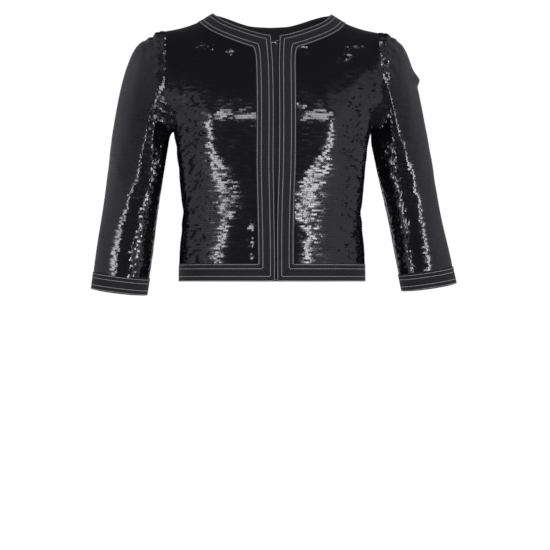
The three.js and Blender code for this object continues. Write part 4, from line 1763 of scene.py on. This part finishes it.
LEFT_ARM = Arm(1, 204.5, 245.5, 52, -419, 4, 0)
RIGHT_ARM = Arm(-1, 210, 242.5, 52, -426.5, 0, 0.05)
LEFT_PLEATS = (
    Pleat(-78, 7, 1.6, 26), Pleat(-63, 8, 2.6, 38), Pleat(-51, 6, 2.0, 24), Pleat(-38, 8, 3.1, 44),
    Pleat(-27, 6, 2.3, 28), Pleat(-14, 8, 3.4, 40), Pleat(-3, 6, 2.6, 30), Pleat(9, 8, 3.5, 46),
    Pleat(20, 6, 2.4, 27), Pleat(32, 8, 3.2, 42), Pleat(45, 7, 2.4, 30), Pleat(58, 8, 2.8, 38),
    Pleat(73, 7, 1.7, 28),
)
RIGHT_PLEATS = (
    Pleat(-74, 7, 1.8, 30), Pleat(-60, 7, 2.3, 26), Pleat(-47, 8, 3.0, 42), Pleat(-35, 6, 2.2, 25),
    Pleat(-23, 8, 3.3, 45), Pleat(-11, 6, 2.5, 29), Pleat(1, 8, 3.6, 41), Pleat(12, 6, 2.7, 30),
    Pleat(24, 8, 3.0, 47), Pleat(36, 7, 2.5, 28), Pleat(49, 8, 3.0, 36), Pleat(62, 6, 2.1, 26),
    Pleat(76, 7, 1.6, 30),
)
# Soft crumples and folds of each sleeve: distance round from the top line (front is positive),
# distance down from the armhole, lean, length, width and depth.
LEFT_FOLDS = creases(
    (8, 46, 80, 26, 13, 2.4), (-16, 62, 60, 30, 11, -2.2), (34, 70, 105, 34, 12, -2.0),
    (58, 96, 70, 30, 13, 1.6), (70, 150, 22, 40, 12, -1.8), (50, 186, 158, 44, 11, 1.6),
    (104, 202, 14, 40, 10, -2.6), (96, 224, 168, 44, 11, 2.0), (112, 246, 8, 40, 9, -2.0),
    (-6, 236, 35, 34, 12, 1.4), (18, 268, 140, 36, 12, -1.4), (-70, 120, 110, 40, 14, -1.8),
    (-92, 210, 20, 44, 13, 1.6), (-60, 300, 70, 44, 14, -1.2), (60, 320, 95, 40, 14, 1.0),
)
RIGHT_FOLDS = creases(
    (-4, 30, 76, 20, 9, -2.6), (12, 50, 98, 24, 13, 2.6), (-26, 58, 120, 30, 12, -2.0),
    (40, 84, 72, 32, 12, -2.0), (64, 118, 108, 30, 12, 1.5), (82, 168, 18, 38, 12, -1.8),
    (60, 214, 160, 46, 12, 1.8), (106, 190, 168, 38, 10, -2.4), (98, 232, 12, 44, 11, 2.0),
    (116, 256, 172, 38, 9, -2.0), (4, 250, 150, 38, 12, -1.4), (-64, 136, 70, 40, 14, -1.8),
    (-88, 226, 158, 44, 12, 1.6), (-54, 312, 104, 44, 14, -1.2), (52, 336, 82, 40, 14, 1.0),
)
SLEEVE_LEVELS = (0, 30, 60, 107, 150, 204, 249, 296, 340)
SLEEVE_PLUMB = Curve(SLEEVE_LEVELS, (0.95,) * len(SLEEVE_LEVELS))
SLEEVE_REACH = Curve(SLEEVE_LEVELS, (260, 200, 120, 64, 54, 54, 54, 54, 54))
SLEEVE_CALM = Curve(SLEEVE_LEVELS, (-3, -3, -2, -0.6, 0, 0.2, 0.4, 0.75, 0.85))
LEFT_LINE = LightLine(
    Curve(SLEEVE_LEVELS, (100, 112, 112, 99, 93, 88, 94, 102, 104)), 16.2,
    SLEEVE_REACH, SLEEVE_CALM, 16, SLEEVE_PLUMB,
    fan=0.6, most=30, follows=0.45, loose=7,
)
RIGHT_LINE = LightLine(
    Curve(SLEEVE_LEVELS, (110, 120, 119, 108, 100, 87, 78, 72, 72)), -19.3,
    SLEEVE_REACH, SLEEVE_CALM, 16, SLEEVE_PLUMB,
    fan=0.6, most=38, follows=0.45, loose=7,
)
# The nip on the outside of a sleeve, a soft swell and then a sharp one: level, height, then where across it
# starts and over how wide it rises.
NIP = ((-82, 9, 215, 15), (-88, 5.5, 222, 12))
SLEEVE_KEYS = (0, 0.3, 0.55, 0.8, 1)
SLEEVE_WIDE = Curve(SLEEVE_KEYS, (44.5, 42.5, 41.2, 42, 42.2))
SLEEVE_DEEP = Curve(SLEEVE_KEYS, (55, 51, 48, 46.5, 46.5))


@dataclass
class Sleeve:
    """One three-quarter sleeve with a gathered head, and its cuff trim."""

    jacket: Jacket
    name: str
    arm: Arm
    pleats: Sequence[Pleat]
    folds: Sequence[Crease]
    line: LightLine
    seed: int
    hollow: float
    puff: float
    puff_length: float = 15.0
    columns: int = 120
    head_rows: int = 56
    lower_rows: int = 60
    tucked: float = 0.6
    upper_arm: float = -184.0
    head_lift: float = 0.2
    head_start: float = 0.27
    head_end: float = 0.47
    cuff_droop: float = 16.5
    head_turn: float = 0.22
    under_drop: float = -0.12
    pleat_share: float = 1.25
    fold_share: float = 0.4

    def centre(self, along: Array) -> Array:
        """The centre line of the lower sleeve, bent forward at the elbow.

        Args:
            along: From 0 at the upper arm to 1 at the cuff.

        Returns:
            Points, in millimetres.
        """
        along = np.asarray(along, float)
        bend = along * (0.55 + 0.45 * along)
        x = mix(self.arm.out, self.arm.cuff_out, along)
        return np.stack([x, -self.arm.cuff_forward * bend, mix(self.upper_arm, self.arm.end, along)], axis=-1)

    def section(self, along: Array, angle: Array) -> tuple[Array, Array]:
        """Points of the lower sleeve and the way down it.

        Args:
            along: From 0 at the upper arm to 1 at the cuff.
            angle: Round the arm: 0 outside, a quarter turn in front.

        Returns:
            The points and the direction down the sleeve.
        """
        along, angle = np.broadcast_arrays(np.asarray(along, float), np.asarray(angle, float))
        down = unit(self.centre(along + 0.01) - self.centre(along - 0.01))
        out = unit(np.array([1.0, 0, 0]) - down * down[..., :1])
        ahead = unit(np.cross(out, down))
        fuller = 1 + self.arm.full * bell((along - 0.65) / 0.3)
        wide = SLEEVE_WIDE(along) * fuller * np.cos(angle)
        deep = SLEEVE_DEEP(along) * np.sin(angle)
        droop = self.cuff_droop * smooth((along - 0.35) / 0.5) * np.sin(angle)
        point = self.centre(along) + out * wide[..., None] - ahead * deep[..., None] + down * droop[..., None]
        return point, down

    def armhole(self) -> tuple[Array, Array]:
        """Spaces places evenly round the armhole, from underneath by the back, the top and the front.

        Returns:
            The places in space, and the angle of each.
        """
        pattern, form = self.jacket.pattern, self.jacket.form
        t = np.linspace(0, 1, 2000)
        front = np.stack(pattern.armhole(t), axis=-1)
        loop = np.concatenate([front, behind(front)[::-1][1:]])
        points = form.point(loop[:, 0], loop[:, 1])
        run = run_along(points)
        angle = np.linspace(-math.pi, math.pi, self.columns + 1)
        share = (angle / (2 * math.pi)) % 1.0
        around = np.interp(share * run[-1], run, loop[:, 0])
        up = np.interp(share * run[-1], run, loop[:, 1])
        return form.point(around, up), angle

    def grid(self) -> Sheet:
        """Lays out the smooth sleeve, head first.

        Returns:
            The smooth sheet.
        """
        start, angle = self.armhole()
        end, down = self.section(np.zeros_like(angle), angle)
        high = np.maximum(0, np.cos(angle))
        rising = mix(self.under_drop, self.head_lift, high)
        leave = unit(np.stack([np.ones_like(angle), -self.head_turn * np.sin(angle), rising], axis=-1))
        reach = np.linalg.norm(end - start, axis=-1, keepdims=True)
        control = (
            start - leave * self.tucked,
            start + leave * reach * self.head_start,
            end - down * reach * self.head_end,
            end,
        )
        t = (np.linspace(0, 1, self.head_rows + 1)[:-1] ** 1.1)[:, None, None]
        weights = ((1 - t) ** 3, 3 * (1 - t) ** 2 * t, 3 * (1 - t) * t * t, t**3)
        head = sum(w * c[None] for w, c in zip(weights, control))
        along = np.linspace(0, 1, self.lower_rows + 1)[:, None]
        lower = self.section(along, angle[None, :])[0]
        points = np.concatenate([head, lower])
        for level, tall, across, wide in NIP:
            swell = bell((points[..., 2] - level) / tall) * smooth((points[..., 0] - across) / wide)
            points[..., 0] += self.arm.pucker * swell
        run = np.cumsum(np.linalg.norm(np.diff(points, axis=0), axis=-1), axis=0)
        self.from_head = np.concatenate([np.zeros((1, len(angle))), run])
        ring = np.linalg.norm(np.diff(points, axis=1), axis=-1).sum(axis=1)
        self.round = angle[None, :] / (2 * math.pi) * ring[:, None]
        flat = np.stack([self.round, self.from_head[-1:] - self.from_head], axis=-1)
        outward = points - points[:, :-1].mean(axis=1, keepdims=True)
        normals = grid_normals(points, True, outward)
        return Sheet(points, normals, flat, True)

    def offset(self, sheet: Sheet) -> Array:
        """Gives how far gathers and folds move the cloth.

        Args:
            sheet: The smooth sleeve.

        Returns:
            Offset along the normals, in millimetres.
        """
        down = self.from_head
        total = np.zeros(down.shape)
        for pleat in self.pleats:
            across = self.round - math.radians(pleat.angle) / (2 * math.pi) * self.ring_length()
            fade = smooth(down / 8) * (1 - smooth((down - 7) / pleat.length))
            wide = pleat.width * (1 + 0.012 * down)
            across = (across + 2.0 * np.sin(down / 13 + pleat.angle)) / wide
            total = total + self.pleat_share * pleat.depth * fade * (0.6 - 1.6 * across**2) * bell(across)
        over = bell(2 * math.pi * self.round / self.ring_length() / 0.75) * smooth(down / 9)
        puffs = np.cos(down * 2 * math.pi / self.puff_length) * bell((down - 20) / 18)
        total = total + over * (self.puff * puffs - self.hollow * bell((down - 27) / 17))
        left = sheet.flat[..., 1]
        free = smooth((left - 26) / 40) * smooth(down / 14)
        free = free * smooth((self.ring_length() / 2 - np.abs(self.round)) / 25)
        total = total + self.fold_share * free * creased(self.round, down, self.folds)
        waves = 0.2 * np.sin(self.round / 19 + down / 33)
        waves = waves + 0.2 * np.sin(down / 21 - self.round / 41 + self.seed)
        return total + waves * free

    def ring_length(self) -> Array:
        """Gives the length of each row round the sleeve."""
        return self.round[:, -1:] - self.round[:, :1]

    def build(self) -> None:
        """Builds the sleeve, its sequins and its cuff trim."""
        smooth_sheet = self.grid()
        cloth = smooth_sheet.moved(self.offset(smooth_sheet))
        cuff = self.cuff_band()
        low_edge = self.section(np.ones(240), np.linspace(0, 2 * math.pi, 240))[0]
        if self.arm.side < 0:
            smooth_sheet, cloth, cuff = smooth_sheet.mirrored(), cloth.mirrored(), cuff.mirrored()
            low_edge = low_edge * (-1.0, 1.0, 1.0)
        made = shell(f"sleeve_{self.name}_cloth", cloth, WALL, (BACKING, LINING))
        down = self.from_head[:, :: self.arm.side]
        around = self.arm.side * np.linspace(-180, 180, self.columns + 1)[None, :] + 0 * down
        facing = self.line.facing(cloth.normals, smooth_sheet.normals, around, down)
        name, layout = f"sleeve_{self.name}_sequins", self.jacket.sequins
        sequins = sew_sequins(name, cloth, facing, [low_edge], layout, self.seed)
        declare(made, [f"sleeve_{self.name}"])
        declare(sequins, [])
        trim_piece(f"cuff_trim_{self.name}", cuff, self.jacket.stitching)

    def cuff_band(self) -> Sheet:
        """Lays out the trim round the cuff.

        Returns:
            The band as a sheet.
        """
        length = float(np.linalg.norm(self.centre(1) - self.centre(0.9))) / 0.1
        angle = np.linspace(-math.pi, math.pi, self.columns + 1)
        along = 1 - TRIM_PARTS * TRIM_WIDTH / length
        points = self.section(along[:, None], angle[None, :])[0]
        ring = np.linalg.norm(np.diff(points, axis=1), axis=-1).sum(axis=1)
        round_cuff = angle[None, :] / (2 * math.pi) * ring[:, None]
        flat = np.stack([round_cuff, (TRIM_PARTS * TRIM_WIDTH)[:, None] + 0 * round_cuff], axis=-1)
        outward = points - points[:, :-1].mean(axis=1, keepdims=True)
        normals = grid_normals(points, True, outward)
        lift = (LAY + TRIM_WALL + TRIM_CROWN)[:, None]
        return Sheet(points + normals * lift[..., None], normals, flat, True)


def stitch_lines(band: Sheet) -> list[tuple[Array, Array]]:
    """Finds the four rows of stitching on a band whose rows run across it.

    Args:
        band: The band's grid, with a row for each of TRIM_PARTS.

    Returns:
        For each row of stitches its points and outward directions.
    """
    lines = []
    for part in STITCH_PARTS:
        i = int(np.searchsorted(TRIM_PARTS, part)) - 1
        share = (part - TRIM_PARTS[i]) / (TRIM_PARTS[i + 1] - TRIM_PARTS[i])
        points = mix(band.points[i], band.points[i + 1], share)
        lines.append((points + band.normals[i] * STITCH_LIFT, band.normals[i]))
    return lines


def trim_piece(node: str, band: Sheet, stitching: Stitching) -> None:
    """Makes a strip of trim with its topstitching, and declares both.

    Args:
        node: The CAD node that it stands for.
        band: The strip as it lies on the cloth.
        stitching: The size of the stitches.
    """
    made = shell(f"{node}_band", band, TRIM_WALL, (TRIM_FINISH,))
    stitches = stitching.sewn(f"{node}_stitches", stitch_lines(band))
    declare(made, [node])
    declare(stitches, [])


# ---- trims


@dataclass
class Trims:
    """The ribbed trim along neck, fronts and hem, with its mitred corners and topstitching."""

    jacket: Jacket
    neck_mitre: float = 0.78
    neck_rise: float = 0.25
    mitre_columns: int = 8
    mitre_reach: float = 2.4
    end_gap: float = 0.15

    def strip(self, line: Line, sections: int, start_mitre: float = 0.0, end_mitre: float = 0.0) -> Sheet:
        """Lays trim along a line, inwards from it.

        Args:
            line: The edge that it follows.
            sections: How many steps to take along it.
            start_mitre: How much the start slants, as a share of the width.
            end_mitre: How much the end slants.

        Returns:
            The trim on the smooth form, with a row for each of TRIM_PARTS.
        """
        form = self.jacket.form
        spots = self.jacket.pattern.evenly(line, 400)
        points = form.point(spots[:, 0], spots[:, 1])
        run = run_along(points)
        length = run[-1]

        def at(distance: Array) -> tuple[Array, Array]:
            """Gives the spots at distances along the line."""
            return np.interp(distance, run, spots[:, 0]), np.interp(distance, run, spots[:, 1])

        place = np.linspace(0, length, sections + 1)[None, :]
        reach = self.mitre_reach * TRIM_WIDTH
        start = start_mitre * np.maximum(0, 1 - place / reach)
        end = end_mitre * np.maximum(0, 1 - (length - place) / reach)
        part = TRIM_PARTS[:, None]
        along = np.clip(place + part * TRIM_WIDTH * (start - end), 0, length)
        here = at(along)
        after, before = (form.point(*at(np.clip(along + step, 0, length))) for step in (1, -1))
        ahead = after - before
        away = unit(np.cross(ahead, form.normal(*here)))
        distance = np.maximum(part * TRIM_WIDTH, 1e-6) * np.ones_like(along)
        around, up = form.walk(here, away, distance)
        flat = np.stack([along, distance], axis=-1)
        return Sheet(form.point(around, up), form.normal(around, up), flat)

    def join_mitre(self, neck: Sheet, edge: Sheet) -> None:
        """Draws the end of the front trim and the start of the neck trim together along their mitre.

        Args:
            neck: Half of the neck trim, moved in place.
            edge: The front trim, moved in place.
        """
        gap = edge.points[:, -1] - neck.points[:, 0]
        for k in range(self.mitre_columns):
            share = 0.5 * (1 - k / self.mitre_columns) ** 2
            neck.points[:, k] += gap * share
            edge.points[:, -1 - k] -= gap * share

    def doubled(self, half: Sheet, half_first: bool) -> Sheet:
        """Joins a half that reaches the centre back to its mirror image.

        Args:
            half: The half.
            half_first: Whether the half starts at the front.

        Returns:
            The whole strip.
        """
        other = half.mirrored()
        if half_first:
            join = half.flat[0, -1, 0] * 2
            other_flat = other.flat + np.array([join, 0.0])
            parts = [(half.points, other.points), (half.normals, other.normals), (half.flat, other_flat)]
        else:
            parts = [(other.points, half.points), (other.normals, half.normals), (other.flat, half.flat)]
        joined = [np.concatenate([a, b[:, 1:]], axis=1) for a, b in parts]
        return Sheet(*joined)

    def finished(self, band: Sheet, extra: float = 0.0) -> Sheet:
        """Lays trim on the creased cloth and draws its ends in.

        Args:
            band: The trim on the smooth form.
            extra: How much further out it lies, in millimetres.

        Returns:
            The laid trim.
        """
        offset = self.jacket.offset(band.points, band.normals)
        lift = offset + (LAY + TRIM_WALL + extra) + TRIM_CROWN[:, None]
        points = band.points + band.normals * lift[..., None]
        for end, beside in ((0, 1), (-1, -2)):
            points[:, end] += unit(points[:, beside] - points[:, end]) * self.end_gap
        return Sheet(points, grid_normals(points, False, band.normals), band.flat)

    def build(self) -> None:
        pattern = self.jacket.pattern
        half_neck = self.strip(pattern.neck_line, 96, start_mitre=self.neck_mitre)
        hem = self.doubled(self.strip(pattern.hem_line, 150, end_mitre=1.0), False)
        edge = self.strip(pattern.edge_line, 130, start_mitre=1.0, end_mitre=self.neck_mitre)
        self.join_mitre(half_neck, edge)
        neck = self.doubled(half_neck, True)
        for name, band, under, extra in (
            ("neck_trim", neck, ["back_cloth", "front_left_cloth", "front_right_cloth"], self.neck_rise),
            ("hem_trim", hem, ["back_cloth", "front_left_cloth", "front_right_cloth"], 0.0),
            ("edge_trim_left", edge, ["front_left_cloth"], 0.0),
            ("edge_trim_right", edge.mirrored(), ["front_right_cloth"], 0.0),
        ):
            laid = self.finished(band, extra)
            trim_piece(name, laid, self.jacket.stitching)


# ---- inside and fastening


# The underlap's section: distance across from the middle, and depth behind the fronts.
UNDERLAP = ((-12.5, 2.2), (-7.5, 3.6), (0, 3.9), (7.5, 3.6), (12.5, 2.2), (17, 2.2))


@dataclass
class Inside:
    """The plain black cloth inside: the back neck facing and the underlap."""

    jacket: Jacket
    body: Body
    facing_share: float = 2 / 9
    underlap_rows: int = 90
    underlap_columns: int = 19
    above_hem: float = 4.0
    below_neck: float = 6.0
    facing_gap: float = 0.1

    def build(self) -> None:
        """Builds both and dresses the hook and eye."""
        self.facing()
        self.underlap()
        for node in ("eye_top", "hook_top"):
            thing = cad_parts[node]
            thing.data.materials.clear()
            thing.data.materials.append(WIRE_FINISH.material())
            log.info("%s: wire finish", node)

    def facing(self) -> None:
        """Lays the facing under the top of the back."""
        body = self.body
        rows = round(body.high_rows * self.facing_share)
        first = body.shoulder_columns
        spots = body.back[-1 - rows :, first : first + body.back_neck_columns + 1]
        sheet = self.jacket.draped(self.jacket.laid(spots))
        sheet = sheet.moved(np.full(spots.shape[:2], -(WALL + SEAM + self.facing_gap)))
        made = shell("back_neck_facing_cloth", sheet, INSIDE_WALL, (PLAIN_CLOTH,))
        declare(made, ["back_neck_facing"])

    def underlap(self) -> None:
        """Stands the underlap behind the opening."""
        form, pattern = self.jacket.form, self.jacket.pattern
        keys, depths = np.array(UNDERLAP).T
        across = np.linspace(keys[0], keys[-1], self.underlap_columns)
        low_end, high_end = pattern.hem_front + self.above_hem, pattern.corner[1] - self.below_neck
        up = np.linspace(low_end, high_end, self.underlap_rows)
        places, levels = np.meshgrid(across, up)
        low = np.where(places < 0, -0.1, 0.0)
        around = root(low, low + 0.1, lambda a: form.point(a, levels)[..., 0] - places)
        points = form.point(around, levels)
        points[..., 1] += np.interp(places, keys, depths)
        flat = np.stack([places, levels - levels[0, 0]], axis=-1)
        sheet = Sheet(points, np.broadcast_to((0.0, -1.0, 0.0), points.shape).copy(), flat)
        made = shell("underlap_cloth", sheet, INSIDE_WALL, (PLAIN_CLOTH,))
        declare(made, ["underlap"])


# ---- the studio


class Softbox(NamedTuple):
    """One soft light: where it stands as seen from the jacket, its size in metres and its brightness."""

    azimuth: float
    elevation: float
    distance: float
    width: float
    height: float
    radiance: float


@dataclass
class Studio:
    """Camera, soft light and plain floor."""

    target: tuple[float, float, float] = (0.0048, 0.0, -0.400)
    distance: float = 3.0
    azimuth: float = -3.3
    lens: float = 122.7
    floor_level: float = -1.40
    floor_size: float = 5.0
    lamps_aim: float = -0.2
    lamp_colour: str = "#fdfbff"
    pale_room: str = "#d9d6e2"
    dark_room: str = "#62636d"
    softboxes: tuple[Softbox, ...] = (
        Softbox(-43, -4, 2.6, 0.2, 0.95, 15.5),
        Softbox(43, -4, 2.6, 0.2, 0.95, 21.5),
        Softbox(-18, 17, 2.8, 1.2, 0.5, 10.5),
        Softbox(21, 17, 2.8, 1.4, 0.5, 9.5),
    )

    def build(self) -> None:
        """Sets up everything that isn't part of the jacket."""
        self.camera()
        self.world()
        for i, box in enumerate(self.softboxes):
            self.softbox(f"softbox_{i}", box)
        self.floor()

    def direction(self, azimuth: float, elevation: float) -> Vector:
        """The way from the jacket to something seen at these angles."""
        a, e = math.radians(azimuth), math.radians(elevation)
        return Vector((math.sin(a) * math.cos(e), -math.cos(a) * math.cos(e), math.sin(e)))

    def camera(self) -> None:
        """Stands the camera level in front of the jacket."""
        data = bpy.data.cameras.new("camera")
        data.lens = self.lens
        data.sensor_width = 36.0
        camera = bpy.data.objects.new("camera", data)
        bpy.context.scene.collection.objects.link(camera)
        way = self.direction(self.azimuth, 0)
        camera.location = Vector(self.target) + way * self.distance
        camera.rotation_euler = way.to_track_quat("Z", "Y").to_euler()
        bpy.context.scene.camera = camera

    def softbox(self, name: str, box: Softbox) -> None:
        """Hangs one soft light, facing the jacket.

        Args:
            name: The light's name.
            box: Where it stands, its size and its brightness.
        """
        data = bpy.data.lights.new(name, "AREA")
        data.shape = "RECTANGLE"
        data.size, data.size_y = box.width, box.height
        data.energy = box.radiance * math.pi * box.width * box.height
        data.color = linear(self.lamp_colour)[:3]
        light = bpy.data.objects.new(name, data)
        bpy.context.scene.collection.objects.link(light)
        way = self.direction(box.azimuth, box.elevation)
        light.location = Vector((0, 0, self.lamps_aim)) + way * box.distance
        light.rotation_euler = way.to_track_quat("Z", "Y").to_euler()

    def world(self) -> None:
        """Paints the room by direction: dark behind the camera, pale at the sides and behind the jacket."""
        world = bpy.data.worlds.new("studio")
        bpy.context.scene.world = world
        world.use_nodes = True
        tree = world.node_tree
        tree.nodes.clear()
        add = partial(add_node, tree)
        way = add("ShaderNodeTexCoord").outputs["Generated"]
        parts = add("ShaderNodeSeparateXYZ", {"Vector": way}).outputs
        level = add("ShaderNodeCombineXYZ", {"X": parts["X"], "Y": parts["Y"]})
        bearing = add("ShaderNodeVectorMath", {0: level.outputs[0]}, operation="NORMALIZE")
        north = add("ShaderNodeSeparateXYZ", {"Vector": bearing.outputs[0]}).outputs["Y"]
        # The room is dark overhead, high behind the jacket, and in the sector behind the camera.
        shades = []
        for value, start, end in (
            (parts["Z"], 0.4, 0.65),
            (parts["Z"], 0.3, 0.5),
            (north, 0.45, 0.65),
            (north, -0.66, -0.76),
        ):
            links = {"Value": value, "From Min": start, "From Max": end}
            shades.append(add("ShaderNodeMapRange", links, interpolation_type="SMOOTHSTEP").outputs["Result"])
        overhead, high, behind_jacket, behind_camera = shades
        high_behind = add("ShaderNodeMath", {0: high, 1: behind_jacket}, operation="MULTIPLY").outputs[0]
        dark = overhead
        for shade in (high_behind, behind_camera):
            dark = add("ShaderNodeMath", {0: dark, 1: shade}, operation="MAXIMUM").outputs[0]
        links = {0: dark, 6: linear(self.pale_room), 7: linear(self.dark_room)}
        room = add("ShaderNodeMix", links, data_type="RGBA").outputs[2]
        seen = add("ShaderNodeLightPath").outputs["Is Camera Ray"]
        colour = add("ShaderNodeMix", {0: seen, 6: room, 7: linear("#ffffff")}, data_type="RGBA").outputs[2]
        background = add("ShaderNodeBackground", {"Color": colour, "Strength": 1.0})
        add("ShaderNodeOutputWorld", {"Surface": background.outputs["Background"]})

    def floor(self) -> None:
        """Lays a plain pale floor well below the hanging jacket."""
        half = self.floor_size / 2
        corners = np.array([[-half, -half, 0], [half, -half, 0], [half, half, 0], [-half, half, 0]]) / MM
        corners[:, 2] = self.floor_level / MM
        floor = new_object("studio_floor", corners, [np.array([[0, 1, 2, 3]])])
        floor.data.materials.append(FLOOR_FINISH.material())


def main() -> None:
    """Builds the jacket piece by piece, then the studio."""
    logging.basicConfig(level=logging.INFO, format="%(message)s")
    jacket = Jacket()
    pattern = jacket.pattern
    log.info("pattern: neck corner at %.1f, neck side at %.4f", pattern.corner[1], pattern.neck_top)
    body = Body(jacket)
    body.build()
    Sleeve(jacket, "left", LEFT_ARM, LEFT_PLEATS, LEFT_FOLDS, LEFT_LINE, 21, 3.5, 1.0).build()
    Sleeve(jacket, "right", RIGHT_ARM, RIGHT_PLEATS, RIGHT_FOLDS, RIGHT_LINE, 22, 6.0, 1.6).build()
    Trims(jacket).build()
    Inside(jacket, body).build()
    Studio().build()
    bpy.context.scene.view_settings.view_transform = "Standard"


if __name__ == "__main__":
    main()
